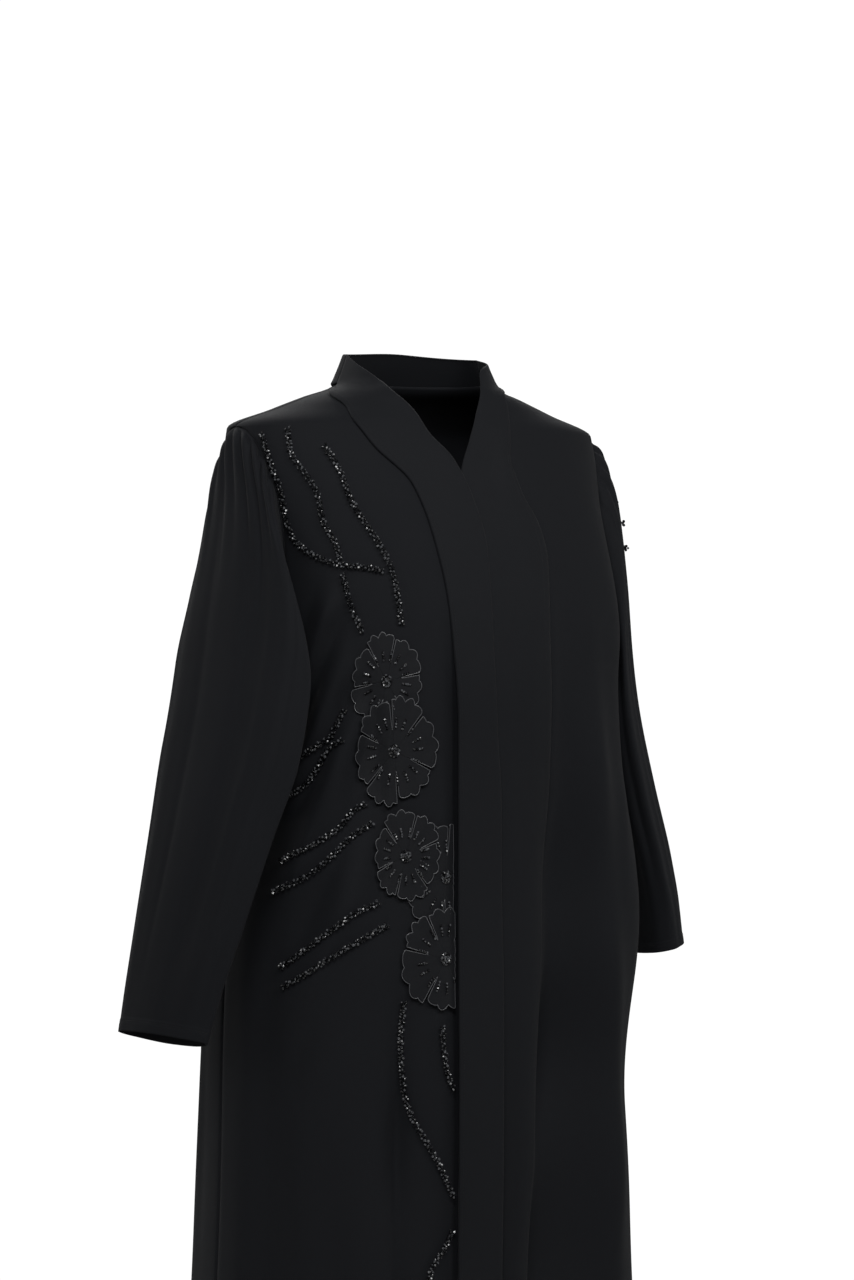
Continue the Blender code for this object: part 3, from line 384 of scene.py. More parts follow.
def folds(angle, height):
    """Sum of soft ridges and troughs, each a bell across its own line that swells and dies away
    along it, except at the hem."""
    total = np.zeros(np.broadcast(angle, height).shape)
    for top_angle, foot_angle, top, foot, out, half_width in BODY_FOLDS:
        along = (top - height) / (top - foot)
        line = top_angle + (foot_angle - top_angle) * np.clip(along, 0.0, 1.0)
        off = way_round(angle, line)
        bell = np.exp(-((off / np.degrees(half_width / FOLD_RADIUS)) ** 2))
        reach = ease(along / 0.3)
        if foot > -LENGTH:
            reach = reach * (1.0 - ease((along - 0.65) / 0.35))
        total = total + out * bell * reach
    waves = np.sin(np.radians(HEM_WAVES * angle) + 1.3 * np.sin(np.radians(2.0 * angle)))
    low = ease((HEM_WAVE_TOP - height) / (LENGTH + HEM_WAVE_TOP))
    return total + HEM_WAVE_HEIGHT * low * waves


def body(angle, height):
    """The plain face: a squared ellipse at each height, plus the folds."""
    angle, height = np.broadcast_arrays(np.asarray(angle, float), np.asarray(height, float))
    ring = smooth(RING_TABLE[:, 0], RING_TABLE[:, 1:], height)
    half_width, front, back, middle = np.moveaxis(ring, -1, 0)
    across, forward = np.cos(np.radians(angle)), np.sin(np.radians(angle))
    depth = np.where(forward > 0.0, front, back)
    power = RING_SQUARENESS
    radius = np.abs(across / half_width) ** power + np.abs(forward / depth) ** power
    radius = radius ** (-1.0 / power)
    radius = radius + folds(angle, height)
    return np.stack([radius * across, middle - radius * forward, height], axis=-1)


def facing(surface, angle, height):
    """Unit normals of a surface, pointing out of the garment."""
    step = 0.05
    up = surface(angle, height + step) - surface(angle, height - step)
    round_body = surface(angle + step, height) - surface(angle - step, height)
    normal = np.cross(up, round_body)
    return normal / np.linalg.norm(normal, axis=-1, keepdims=True)


def on_sheet(point):
    """A point's place on the drawing sheet: its sight line's crossing with the sheet."""
    across = point[..., 0] * np.cos(VIEW_TURN) - point[..., 1] * np.sin(VIEW_TURN)
    behind = point[..., 0] * np.sin(VIEW_TURN) + point[..., 1] * np.cos(VIEW_TURN)
    scale = VIEW_DISTANCE / (VIEW_DISTANCE + behind)
    return across * scale, VIEW_HEIGHT + (point[..., 2] - VIEW_HEIGHT) * scale


def under_sheet(surface, across, height):
    """(angle, height) on a surface under a place on the drawing sheet, by Newton's steps."""
    across, height = np.asarray(across, float), np.asarray(height, float)
    angle = 105.0 - 3.4 * across
    level = height.copy()
    for _ in range(14):
        here, seen_height = on_sheet(surface(angle, level))
        beside, _ = on_sheet(surface(angle + 0.1, level))
        step = (across - here) / ((beside - here) / 0.1)
        angle = np.clip(angle + np.clip(step, -8.0, 8.0), 12.0, 172.0)
        level = level + (height - seen_height)
    return angle, level


def band_lines(table, side_angle):
    """Seam line and free edge of a front band as rows of (angle, height) from neck to hem."""
    table = np.array(table)
    seam = np.stack(under_sheet(body, table[:, 0], table[:, 1]), axis=-1)
    edge = np.stack(under_sheet(body, table[:, 2], table[:, 3]), axis=-1)
    seam[-1, 1] = edge[-1, 1] = -LENGTH
    seam = np.vstack([(side_angle, 0.0), seam])
    edge = np.vstack([(side_angle, BAND_HEIGHT_AT_NECK), edge])
    return seam, edge


RIGHT_SEAM, RIGHT_EDGE = band_lines(RIGHT_BAND, RIGHT_SIDE)
LEFT_SEAM, LEFT_EDGE = band_lines(LEFT_BAND, LEFT_SIDE)


def drawn_lines():
    """The drawn creases as (angles, heights, slant, out, half width), from the top down."""
    lines = []
    for out, half_width, drawn in DRAWN_CREASES:
        drawn = np.array(drawn)
        knots = np.arange(len(drawn), dtype=float)
        line = smooth(knots, drawn, np.linspace(0.0, knots[-1], 40))
        angle, height = under_sheet(body, line[:, 0], line[:, 1])
        slope = np.gradient(np.radians(angle) * FOLD_RADIUS, height)
        slant = 1.0 / np.hypot(1.0, slope)
        lines.append((angle[::-1], height[::-1], slant[::-1], out, half_width))
    return lines


CREASE_LINES = drawn_lines()


def slight_relief(angle, height):
    """The listed slight creases, and a long soft unevenness that no cloth is without."""
    angle, height = np.broadcast_arrays(np.asarray(angle, float), np.asarray(height, float))
    total = np.zeros(angle.shape)
    for line_angle, line_height, slant, out, half_width in CREASE_LINES:
        top, foot = line_height[-1], line_height[0]
        line = np.interp(height, line_height, line_angle)
        narrow = np.interp(height, line_height, slant)
        off = np.radians(way_round(angle, line)) * FOLD_RADIUS * narrow
        along = (top - height) / (top - foot)
        reach = ease(along / 0.25)
        if foot > HEM_TOP:
            reach = reach * (1.0 - ease((along - 0.7) / 0.3))
        uneven = 0.8 + 0.2 * np.sin(height * 0.31 + foot)
        total += out * reach * uneven * np.exp(-(np.abs(off / half_width) ** 1.7))
    for top_angle, foot_angle, top, foot, out, half_width, wander in BACK_CREASES:
        along = (top - height) / (top - foot)
        line = top_angle + (foot_angle - top_angle) * np.clip(along, 0.0, 1.0)
        line = line + wander * np.sin(height * 0.16 + top_angle)
        off = np.radians(way_round(angle, line)) * FOLD_RADIUS
        reach = ease(along / 0.25)
        if foot > -LENGTH:
            reach = reach * (1.0 - ease((along - 0.7) / 0.3))
        total += out * reach * np.exp(-(np.abs(off / half_width) ** 1.7))
    turn = np.radians(angle)
    long_wave = np.sin(5.0 * turn + 0.05 * height + 1.1) * np.sin(0.083 * height + 2.0 * turn)
    short_wave = np.sin(13.0 * turn - 0.07 * height) * np.sin(0.21 * height + 3.0 * turn + 0.7)
    return total + 0.07 * long_wave + 0.03 * short_wave


def face(angle, height):
    """The cloth's outer face, with its slight creases."""
    point = body(angle, height)
    relief = slight_relief(angle, height) * ease((-1.0 - np.asarray(height)) / 6.0)
    return point + facing(body, angle, height) * relief[..., None]


def right_face(angle, height):
    """The right front's face: sunk in a groove beside the band, with a narrow crevice in it."""
    point = face(angle, height)
    seam = np.interp(-np.asarray(height, float), -RIGHT_SEAM[:, 1], RIGHT_SEAM[:, 0])
    off = np.radians(np.maximum(angle - seam, 0.0)) * FOLD_RADIUS
    depth = GROOVE_DEPTH * ease((GROOVE_TOP - height) / (GROOVE_TOP - GROOVE_FULL))
    crevice = CREVICE_DEPTH * depth / GROOVE_DEPTH * np.exp(-((off / CREVICE_WIDTH) ** 2))
    sunk = depth * np.exp(-((off / GROOVE_WIDTH) ** 2)) + crevice
    return point - facing(body, angle, height) * sunk[..., None]


def left_face(angle, height):
    """The left front's face: it falls back under the right band's free edge."""
    point = face(angle, height)
    edge = np.interp(-np.asarray(height, float), -RIGHT_EDGE[:, 1], RIGHT_EDGE[:, 0])
    off = np.radians(np.maximum(edge - angle, 0.0)) * FOLD_RADIUS
    depth = LEFT_SINK * ease((LEFT_SINK_TOP - height) / (LEFT_SINK_TOP - LEFT_SINK_FULL))
    sunk = depth * np.exp(-((off / LEFT_SINK_WIDTH) ** 2))
    beside = np.radians(edge - angle) * FOLD_RADIUS
    dip = EDGE_DIP * ease((EDGE_DIP_TOP - height) / 12.0)
    sunk = sunk + dip * np.exp(-((beside / EDGE_DIP_WIDTH) ** 2))
    return point - facing(body, angle, height) * sunk[..., None]


def left_side_face(angle, height):
    """The left front's face beyond its band: it dips in a narrow crevice at the band's seam."""
    point = left_face(angle, height)
    seam = np.interp(-np.asarray(height, float), -LEFT_SEAM[:, 1], LEFT_SEAM[:, 0])
    off = np.radians(np.maximum(seam - angle, 0.0)) * FOLD_RADIUS
    depth = LEFT_CREVICE * ease((-6.0 - height) / 20.0)
    sunk = depth * np.exp(-((off / CREVICE_WIDTH) ** 2))
    return point - facing(body, angle, height) * sunk[..., None]


def mesh_piece(name, points, faces, look):
    """A mesh object from an array of points, in centimetres, and an array of faces."""
    points = np.asarray(points, float) * CM
    mesh = bpy.data.meshes.new(name)
    if isinstance(faces, np.ndarray):
        faces = faces.tolist()
    mesh.from_pydata(points.tolist(), [], faces)
    mesh.validate()
    mesh.materials.append(look)
    made = bpy.data.objects.new(name, mesh)
    bpy.context.scene.collection.objects.link(made)
    return made


def grid_faces(rows, columns, ring=False):
    """Four-cornered faces of a grid, and with ring those that close it round."""
    number = np.arange(rows * columns).reshape(rows, columns)
    if ring:
        number = np.hstack([number, number[:, :1]])
    corners = (number[:-1, :-1], number[:-1, 1:], number[1:, 1:], number[1:, :-1])
    return np.stack(corners, axis=-1).reshape(-1, 4)


def lay_out(grid):
    """Flat cut coordinates of a grid, in decimetres: the way along its rows and columns."""
    across = np.linalg.norm(np.diff(grid, axis=1), axis=-1)
    down = np.linalg.norm(np.diff(grid, axis=0), axis=-1)
    u = np.concatenate([np.zeros((len(grid), 1)), np.cumsum(across, axis=1)], axis=1)
    v = np.concatenate([np.zeros((1, grid.shape[1])), np.cumsum(down, axis=0)], axis=0)
    middle = u[:, u.shape[1] // 2][:, None]
    return np.stack([u - middle, v], axis=-1) * 0.1


def cloth_piece(name, grid, outward, look, wall=CLOTH, ring=False):
    """A thin smooth shell whose outer face is a grid of points. outward is a sample direction: the
    normals of the grid are turned to agree with it, and the wall grows inwards."""
    rows, columns = grid.shape[:2]
    faces = grid_faces(rows, columns, ring)
    flat = grid.reshape(-1, 3)
    cross = np.cross(flat[faces[:, 1]] - flat[faces[:, 0]], flat[faces[:, 3]] - flat[faces[:, 0]])
    if (cross * outward.reshape(-1, 3)[faces[:, 0]]).sum() < 0.0:
        faces = faces[:, ::-1].copy()
    piece = mesh_piece(name, flat, faces, look)
    cut = lay_out(grid).reshape(-1, 2)
    layer = piece.data.uv_layers.new(name="cut")
    corner = np.empty(len(piece.data.loops), dtype=np.int32)
    piece.data.loops.foreach_get("vertex_index", corner)
    layer.data.foreach_set("uv", cut[corner].ravel())
    piece.data.shade_smooth()
    shell = piece.modifiers.new("cloth", "SOLIDIFY")
    shell.thickness = wall
    shell.offset = -1.0
    shell.use_even_offset = False
    return piece


def panel_heights(hem_rows, lower_rows, armhole_rows, shoulder_rows):
    """Heights and armhole steps of a panel's rows, from the hem up. A step is 0 below the armhole
    and a half turn above it."""
    hem = np.linspace(-LENGTH, -LENGTH + 1.6 * HEM, hem_rows, endpoint=False)
    lower = np.linspace(-LENGTH + 1.6 * HEM, -UNDERARM, lower_rows, endpoint=False)
    step = np.linspace(0.0, np.pi, armhole_rows)
    middle, half = (UNDERARM + SHOULDER_DROP) / 2.0, (UNDERARM - SHOULDER_DROP) / 2.0
    shoulder = np.linspace(-SHOULDER_DROP, -0.02, shoulder_rows + 1)[1:]
    heights = np.concatenate([hem, lower, -middle - half * np.cos(step), shoulder])
    steps = np.concatenate([np.zeros(hem_rows + lower_rows), step, np.full(shoulder_rows, np.pi)])
    return heights, steps


def hem_relief(height):
    """The turned hem: a double layer that stands out a little, with a dent along its stitching."""
    above = height + LENGTH
    turned = 0.06 * (1.0 - ease((above - HEM) / 0.18))
    stitched = 0.045 * np.exp(-(((above - HEM + 0.12) / 0.1) ** 2))
    return turned - stitched


def edge_dip(off):
    """A seam's edge, which rolls inwards over its last few millimetres."""
    return -0.11 * np.exp(-((off / 0.28) ** 2))


def front_grid(surface, seam, edge, tuck, side, inward, columns):
    """One front, in level rows from its band's seam line to its side, with a first part that
    reaches under the band."""
    height, step = panel_heights(12, 205, 62, 16)
    side_angle = side + inward * ARMHOLE_FRONT * np.sin(step)
    knots = np.arange(len(seam), dtype=float)
    fine = np.linspace(0.0, knots[-1], 3000)
    place = np.interp(-height, -smooth(knots, seam, fine)[:, 1], fine)
    place[0] = knots[-1]
    seam_here, edge_here = smooth(knots, seam, place), smooth(knots, edge, place)
    share = tuck * (0.06 + 0.94 * ease((-4.0 - height) / 5.0))
    under = seam_here + (edge_here - seam_here) * share[:, None]
    spread = np.linspace(0.0, 1.0, columns)
    spread = spread + 0.022 * np.sin(2.0 * np.pi * spread)
    angle = seam_here[:, :1] + (side_angle[:, None] - seam_here[:, :1]) * spread
    level = np.repeat(height[:, None], columns, axis=1)
    angle = np.hstack([under[:, :1], (under[:, :1] + angle[:, :1]) / 2.0, angle])
    level = np.hstack([under[:, 1:], (under[:, 1:] + level[:, :1]) / 2.0, level])
    normal = facing(surface, angle, level)
    off = np.radians(np.abs(side_angle[:, None] - angle)) * FOLD_RADIUS
    relief = hem_relief(level) + edge_dip(off)
    return surface(angle, level) + normal * relief[..., None], normal


def back_grid(columns):
    """The back in one piece, from side to side, and up under the neck band."""
    height, step = panel_heights(12, 190, 56, 16)
    height = np.append(height, (0.25, 0.5))
    step = np.append(step, (np.pi, np.pi))
    right = 180.0 + ARMHOLE_BACK * np.sin(step)
    left = 360.0 - ARMHOLE_BACK * np.sin(step)
    spread = np.linspace(0.0, 1.0, columns)
    spread = spread - 0.008 * np.sin(2.0 * np.pi * spread)
    angle = right[:, None] + (left - right)[:, None] * spread
    level = np.repeat(height[:, None], columns, axis=1)
    normal = facing(face, angle, level)
    off = np.radians(np.minimum(angle - right[:, None], left[:, None] - angle)) * FOLD_RADIUS
    relief = hem_relief(level) + edge_dip(off)
    return face(angle, level) + normal * relief[..., None], normal


def band_profile(columns, round_seam, round_free):
    """Shares across a band, closer at both edges, and how far each lies below the band's top: the
    edges turn down like a pressed fold."""
    t = np.linspace(0.0, 1.0, columns)
    share = t - 0.11 * np.sin(2.0 * np.pi * t)
    down = round_seam * np.exp(-((share / 0.022) ** 2))
    down = down + round_free * np.exp(-(((1.0 - share) / 0.022) ** 2))
    return share, down


def band_rows(seam, count):
    """Row places down a band, near enough even in length."""
    knots = np.arange(len(seam), dtype=float)
    fine = np.linspace(0.0, knots[-1], 3000)
    line = body(*smooth(knots, seam, fine).T)
    length = np.concatenate([[0.0], np.cumsum(np.linalg.norm(np.diff(line, axis=0), axis=1))])
    return np.interp(np.linspace(0.0, length[-1], count), length, fine)


def neck_lift(level):
    """How much further a band stands off where it turns up round the neck."""
    return NECK_LIFT * ease((level[:, :1] + 4.0) / 3.0) + level * 0.0


def front_band_grid(surface, seam, edge, count, columns, underlap):
    """A front band. With underlap it sinks past its own front's edge and goes under the other."""
    knots = np.arange(len(seam), dtype=float)
    rows = band_rows(seam, count)
    share, down = band_profile(columns, 0.17, 0.08)
    seam_line, edge_line = smooth(knots, seam, rows), smooth(knots, edge, rows)
    grid = seam_line[:, None] + (edge_line - seam_line)[:, None] * share[None, :, None]
    angle, level = grid[..., 0], grid[..., 1]
    base = BAND_LIFT + BAND_WALL - down + neck_lift(level)
    if underlap:
        low = ease((-1.0 - level[:, -1:]) / 5.0)
        base = base - UNDERLAP_DROP * ease((share - 0.22) / 0.25) * low
    base = base + 0.6 * hem_relief(level)
    normal = facing(surface, angle, level)
    return surface(angle, level) + normal * base[..., None], normal


def neck_band_grid(count, columns):
    """The band behind the neck, from shoulder seam to shoulder seam."""
    angle = np.linspace(180.0, 360.0, count)
    rise = np.sin(np.radians(angle - 180.0))
    top = BAND_HEIGHT_AT_NECK + (BAND_HEIGHT_AT_BACK - BAND_HEIGHT_AT_NECK) * rise
    share, down = band_profile(columns, 0.17, 0.08)
    level = top[:, None] * share
    angle = np.repeat(angle[:, None], columns, axis=1)
    base = BAND_LIFT + BAND_WALL - down + neck_lift(level)
    normal = facing(face, angle, level)
    return face(angle, level) + normal * base[..., None], normal


def armhole_places(side, round_angle, beyond):
    """(angle, height) round an armhole, so many centimetres beyond its edge. round_angle is 0 at
    the shoulder, 90 at the front and 180 at the underarm."""
    sign = 1.0 if side == LEFT_SIDE else -1.0
    middle, half = (UNDERARM + SHOULDER_DROP) / 2.0, (UNDERARM - SHOULDER_DROP) / 2.0
    wrapped = (round_angle + 180.0) % 360.0 - 180.0
    step = np.radians(180.0 - np.abs(wrapped))
    reach = np.where(wrapped >= 0.0, ARMHOLE_FRONT * sign, -ARMHOLE_BACK * sign)
    reach = reach + np.sign(reach) * np.degrees(beyond / FOLD_RADIUS)
    return side + reach * np.sin(step), -middle - (half + beyond) * np.cos(step)


def armhole_tuck(side, round_angle):
    """The ring where a sleeve's seam allowance ends, a little way in under the panels."""
    angle, height = armhole_places(side, round_angle, ALLOWANCE)
    return face(angle, height) - facing(body, angle, height) * ALLOWANCE_DEPTH


def armhole_loop(side, round_angle):
    """Points round an armhole, a little inside the panels' edges."""
    loop = face(*armhole_places(side, round_angle, 0.0))
    ends = body(side, np.array([-UNDERARM, -SHOULDER_DROP]))
    inward = ends.mean(axis=0) - loop
    return loop + inward / np.linalg.norm(inward, axis=-1, keepdims=True) * 0.12


def sleeve_base(table, side, rows, round_angle):
    """Smooth points of a sleeve: each section is an ellipse between its outer and inner lines,
    turned so that its front swings in, and the first is the armhole."""
    sign = 1.0 if side == LEFT_SIDE else -1.0
    hole = armhole_loop(side, round_angle)
    top, foot = armhole_loop(side, np.array([0.0, 180.0]))
    first = (abs(top[0]), top[2], abs(foot[0]), foot[2], 1.2, 5.2, 0.0)
    table = np.vstack([first, table])
    knots = np.arange(len(table), dtype=float)
    section = smooth(knots, table, rows)
    turn = np.radians(section[:, 6])[:, None]
    c, s = np.cos(np.radians(round_angle)), np.sin(np.radians(round_angle))
    half_x, half_z = (section[:, 0] - section[:, 2]) / 2.0, (section[:, 1] - section[:, 3]) / 2.0
    mid_x, mid_z = (section[:, 0] + section[:, 2]) / 2.0, (section[:, 1] + section[:, 3]) / 2.0
    x = mid_x[:, None] + half_x[:, None] * c - section[:, 5, None] * np.sin(turn) * s
    y = section[:, 4, None] - section[:, 5, None] * np.cos(turn) * s
    z = mid_z[:, None] + half_z[:, None] * c
    every = np.stack([sign * x, y, z], axis=-1)
    first = np.array(first)
    base_x = (first[0] + first[2]) / 2.0 + (first[0] - first[2]) / 2.0 * c
    base_z = (first[1] + first[3]) / 2.0 + (first[1] - first[3]) / 2.0 * c
    base = np.stack([sign * base_x, first[4] - first[5] * s, base_z], axis=-1)
    fade = 1.0 - ease(rows / HEAD_FADE)
    every = every + fade[:, None, None] * (hole - base)[None]
    return every, np.stack([sign * mid_x, section[:, 4], mid_z], axis=-1)


def tube_normals(points, centres, ring=True):
    """Unit normals of a tube's grid, pointing away from the section centres."""
    if ring:
        round_tube = np.roll(points, -1, axis=1) - np.roll(points, 1, axis=1)
    else:
        round_tube = np.gradient(points, axis=1)
    normal = np.cross(round_tube, np.gradient(points, axis=0))
    normal /= np.maximum(np.linalg.norm(normal, axis=-1, keepdims=True), 1e-9)
    outward = ((points - centres[:, None]) * normal).sum(axis=-1).mean()
    return normal * np.sign(outward)


def sleeve_relief(rows, round_angle, seed, front_fold):
    """Gathers and fine pleats that swell below the head seam and die away, long folds down to the
    cuff, a turned cuff hem and a slight unevenness."""
    total = np.zeros((len(rows), len(round_angle)))
    down = rows[:, None]
    strength = (0.35 + 0.65 * ease(down / 1.5)) * (1.0 - ease((down - 1.2) / 3.4))
    for place, centre in enumerate(GATHERS):
        off = way_round(round_angle, centre)
        size = GATHER_HEIGHT * (1.0 if place % 2 else 0.75)
        total += size * strength * np.exp(-((off / GATHER_WIDTH) ** 2))
    for centre, length, out, half_width in FINE_PLEATS:
        centre = centre + 1.2 * np.sin(down * 0.9 + centre + seed)
        off = way_round(round_angle, centre)
        reach = ease(down / 0.5) * (1.0 - ease((down - 0.35 * length) / (0.65 * length)))
        total += out * reach * np.exp(-((off / half_width) ** 2))
    for centre, first, last, out, half_width in SLEEVE_FOLDS:
        off = way_round(round_angle, centre)
        reach = ease((down - first) / 2.0) * (1.0 - 0.6 * ease((down - last + 1.0) / 2.0))
        total += 0.4 * out * reach * np.exp(-((off / half_width) ** 2))
    for top, foot, first, last, out, half_width in SLEEVE_CREASES:
        along = (down - first) / (last - first)
        line = top + (foot - top) * along + 1.6 * np.sin(down * 0.8 + top + seed)
        off = way_round(round_angle, line)
        reach = ease(along / 0.3) * (1.0 - ease((along - 0.7) / 0.3))
        total += 0.7 * out * reach * np.exp(-(np.abs(off / half_width) ** 1.7))
    fold = ease((round_angle - 88.0) / 26.0) * (1.0 - ease((round_angle - 196.0) / 60.0))
    fold = fold - 0.2 * np.exp(-(((round_angle - 130.0) / 7.0) ** 2))
    total -= front_fold * fold * ease((down - 1.4) / 2.6) * (1.0 - 0.7 * ease((down - 6.4) / 3.2))
    turn = np.radians(round_angle)
    uneven = 0.05 * np.sin(3.0 * turn + 0.9 * down + seed) * np.sin(1.1 * down + turn)
    total += uneven * ease(down / 2.0)
    from_cuff = (rows[-1] - down) * SECTION_STEP
    total += 0.06 * (1.0 - ease((from_cuff - HEM) / 0.2))
    total -= 0.04 * np.exp(-(((from_cuff - HEM + 0.12) / 0.12) ** 2))
    return total


def sleeve_rows():
    """Places of the sleeve's rings: close at the head and the cuff hem."""
    head = np.linspace(0.0, 1.0, 26, endpoint=False)
    middle = np.linspace(1.0, 9.68, 92, endpoint=False)
    cuff = np.linspace(9.68, 10.0, 14)
    return np.concatenate([head, middle, cuff])


def sleeve_columns():
    """Degrees round a sleeve, closer where the head is gathered."""
    head = np.linspace(-66.0, 70.0, 96, endpoint=False)
    rest = np.linspace(70.0, 294.0, 62, endpoint=False)
    return np.concatenate([head, rest])


def sleeve_grid(table, side, rows, columns, seed, ring=True):
    """Outer points of a sleeve with its relief, its normals and section centres."""
    smooth_points, centres = sleeve_base(table, side, rows, columns)
    front_fold = RIGHT_FRONT_FOLD if side == RIGHT_SIDE else LEFT_FRONT_FOLD
    relief = sleeve_relief(rows, columns, seed, front_fold)
    relief *= (0.2 + 0.8 * ease(rows / 0.35))[:, None]
    normal = tube_normals(smooth_points, centres, ring)
    return smooth_points + normal * relief[..., None], normal, centres


def bead_shape():
    """A small faceted bead: six sides and two tiers, with both poles closed. Unit radius."""
    turn = np.radians(np.arange(6) * 60.0)
    upper = np.stack([0.84 * np.cos(turn), 0.84 * np.sin(turn), np.full(6, 0.5)], axis=-1)
    lower = np.stack([0.84 * np.cos(turn), 0.84 * np.sin(turn), np.full(6, -0.5)], axis=-1)
    points = np.vstack([upper, lower, [(0.0, 0.0, 0.95), (0.0, 0.0, -0.95)]])
    faces = []
    for i in range(6):
        j = (i + 1) % 6
        faces += [(i, j, 12), (i + 6, j + 6, j), (i + 6, j, i), (j + 6, i + 6, 13)]
    return points, np.array(faces)


def scatter(name, places, turns, sizes, shape, look):
    """One mesh of many copies of a small shape. turns holds a 3 by 3 matrix for each place."""
    points, faces = shape
    every = np.einsum("nij,pj->npi", turns, points) * sizes[:, None, None] + places[:, None]
    shift = (np.arange(len(places)) * len(points))[:, None, None]
    return mesh_piece(name, every.reshape(-1, 3), (faces[None] + shift).reshape(-1, 3), look)


def random_turns(count, seed):
    """Rotation matrices at seeded random turns, from unit quaternions."""
    q = np.random.default_rng(seed).normal(size=(count, 4))
    w, x, y, z = (q / np.linalg.norm(q, axis=1, keepdims=True)).T
    return np.stack(
        [
            np.stack([1 - 2 * (y * y + z * z), 2 * (x * y - z * w), 2 * (x * z + y * w)], axis=-1),
            np.stack([2 * (x * y + z * w), 1 - 2 * (x * x + z * z), 2 * (y * z - x * w)], axis=-1),
            np.stack([2 * (x * z - y * w), 2 * (y * z + x * w), 1 - 2 * (x * x + y * y)], axis=-1),
        ],
        axis=1,
    )


def rope_places(line, normals, seed):
    """Bead centres of a rope: cords of beads wind round a line that lies a rope's radius above the
    cloth. Returns places and sizes."""
    step = np.linalg.norm(np.diff(line, axis=0), axis=1)
    length = np.concatenate([[0.0], np.cumsum(step)])
    count = int(length[-1] / BEAD_STEP)
    along = (np.arange(count) + 0.5) * length[-1] / count
    cord = np.arange(ROPE_CORDS)
    at = (along[:, None] + cord * BEAD_STEP / ROPE_CORDS).ravel()
    which = np.tile(cord, count)
    centre = np.stack([np.interp(at, length, line[:, k]) for k in range(3)], axis=-1)
    up = np.stack([np.interp(at, length, normals[:, k]) for k in range(3)], axis=-1)
    tangents = np.gradient(line, axis=0)
    ahead = np.stack([np.interp(at, length, tangents[:, k]) for k in range(3)], axis=-1)
    ahead /= np.linalg.norm(ahead, axis=-1, keepdims=True)
    beside = np.cross(up, ahead)
    phase = 2.0 * np.pi * (at / ROPE_TURN + which / ROPE_CORDS)
    lift = ROPE_RADIUS * 0.8 + BEAD_RADIUS * 0.75
    round_rope = np.cos(phase)[:, None] * beside * 1.15 + np.sin(phase)[:, None] * up * 0.8
    places = centre + up * lift + round_rope * ROPE_RADIUS
    random = np.random.default_rng(seed)
    places = places + random.normal(scale=0.012, size=places.shape)
    return places, BEAD_RADIUS * random.uniform(0.84, 1.1, size=len(places))


def front_rope(drawn):
    """A rope's line and normals on the right front, from its points on the sheet."""
    drawn = np.array(drawn)
    knots = np.concatenate([[0.0], np.cumsum(np.linalg.norm(np.diff(drawn, axis=0), axis=1))])
    line = smooth(knots, drawn, np.linspace(0.0, knots[-1], 90))
    angle, height = under_sheet(right_face, line[:, 0], line[:, 1])
    return right_face(angle, height), facing(right_face, angle, height)


def sleeve_rope(height, first, last):
    """A rope's line and normals round the outer side of the left sleeve, at one height."""
    degrees = np.linspace(first, last, 60)
    rows = np.linspace(0.5, 6.0, 400)
    points, normal, _ = sleeve_grid(LEFT_SLEEVE, LEFT_SIDE, rows, degrees, LEFT_SEED, ring=False)
    pick = np.abs(points[..., 2] - height).argmin(axis=0)
    column = np.arange(len(degrees))
    return points[pick, column], normal[pick, column]


def on_front(x, z, lift):
    """Points over the right front at places on the sheet, lifted along the cloth's normal."""
    angle, level = under_sheet(body, x, z)
    normal = facing(right_face, angle, level)
    return right_face(angle, level) + normal * np.asarray(lift)[..., None], normal


def petal_sides(number, petal):
    """The directions of a petal's two slits, in degrees: an even star with uneven steps."""
    turn = FLOWERS[number][4]

    def side(k):
        """The direction of one slit."""
        return turn + k * 360.0 / PETALS + 7.0 * np.sin(2.1 * (k % PETALS) + 1.7 * number)

    return side(petal), side(petal + 1)


def petal_rim(radius, share):
    """A petal's rim as a share of its own width, 0 to 1: full in the middle and lower at both
    slits, with a few uneven waves."""
    dome = 1.0 - PETAL_NOTCH * np.abs(2.0 * share - 1.0) ** 2.6
    waves = np.abs(np.cos(np.pi * (PETAL_WAVES * share + 0.5))) ** 0.7
    waves = waves + 0.3 * np.cos(4.7 * np.pi * share + 0.6)
    return radius * (dome - PETAL_WAVE_HEIGHT * (1.0 - waves))


def flower_frame(number):
    """The flower's centre on the sheet, its radius, its lift over the cloth and its turn."""
    across, height, radius, layer, turn = FLOWERS[number]
    return across, height, radius, PETAL_LIFT[layer] + 0.06, turn


def cut_short(across, height, reach, turn):
    """Keeps a flower's reach clear of the right band."""
    seam_down, seam_across = [-row[1] for row in RIGHT_BAND], [row[0] for row in RIGHT_BAND]
    limit = np.interp(-height - reach * np.sin(turn), seam_down, seam_across)
    room = (limit - BAND_CLEARANCE - across) / (FLOWER_NARROW * np.maximum(np.cos(turn), 0.05))
    return np.minimum(reach, room)


def flower_place(across, height, reach, direction):
    """A place on the sheet at a reach and direction from a flower's heart."""
    return across + FLOWER_NARROW * reach * np.cos(direction), height + reach * np.sin(direction)


def petal_lift(base, share, out):
    """Height over the cloth: the petals lie nearly flat, and their rims lift a little."""
    ruffle = 0.022 * np.sin(2.0 * np.pi * (0.5 * PETAL_WAVES * share + 0.1)) * out**3
    return base + 0.03 * out**2 + ruffle


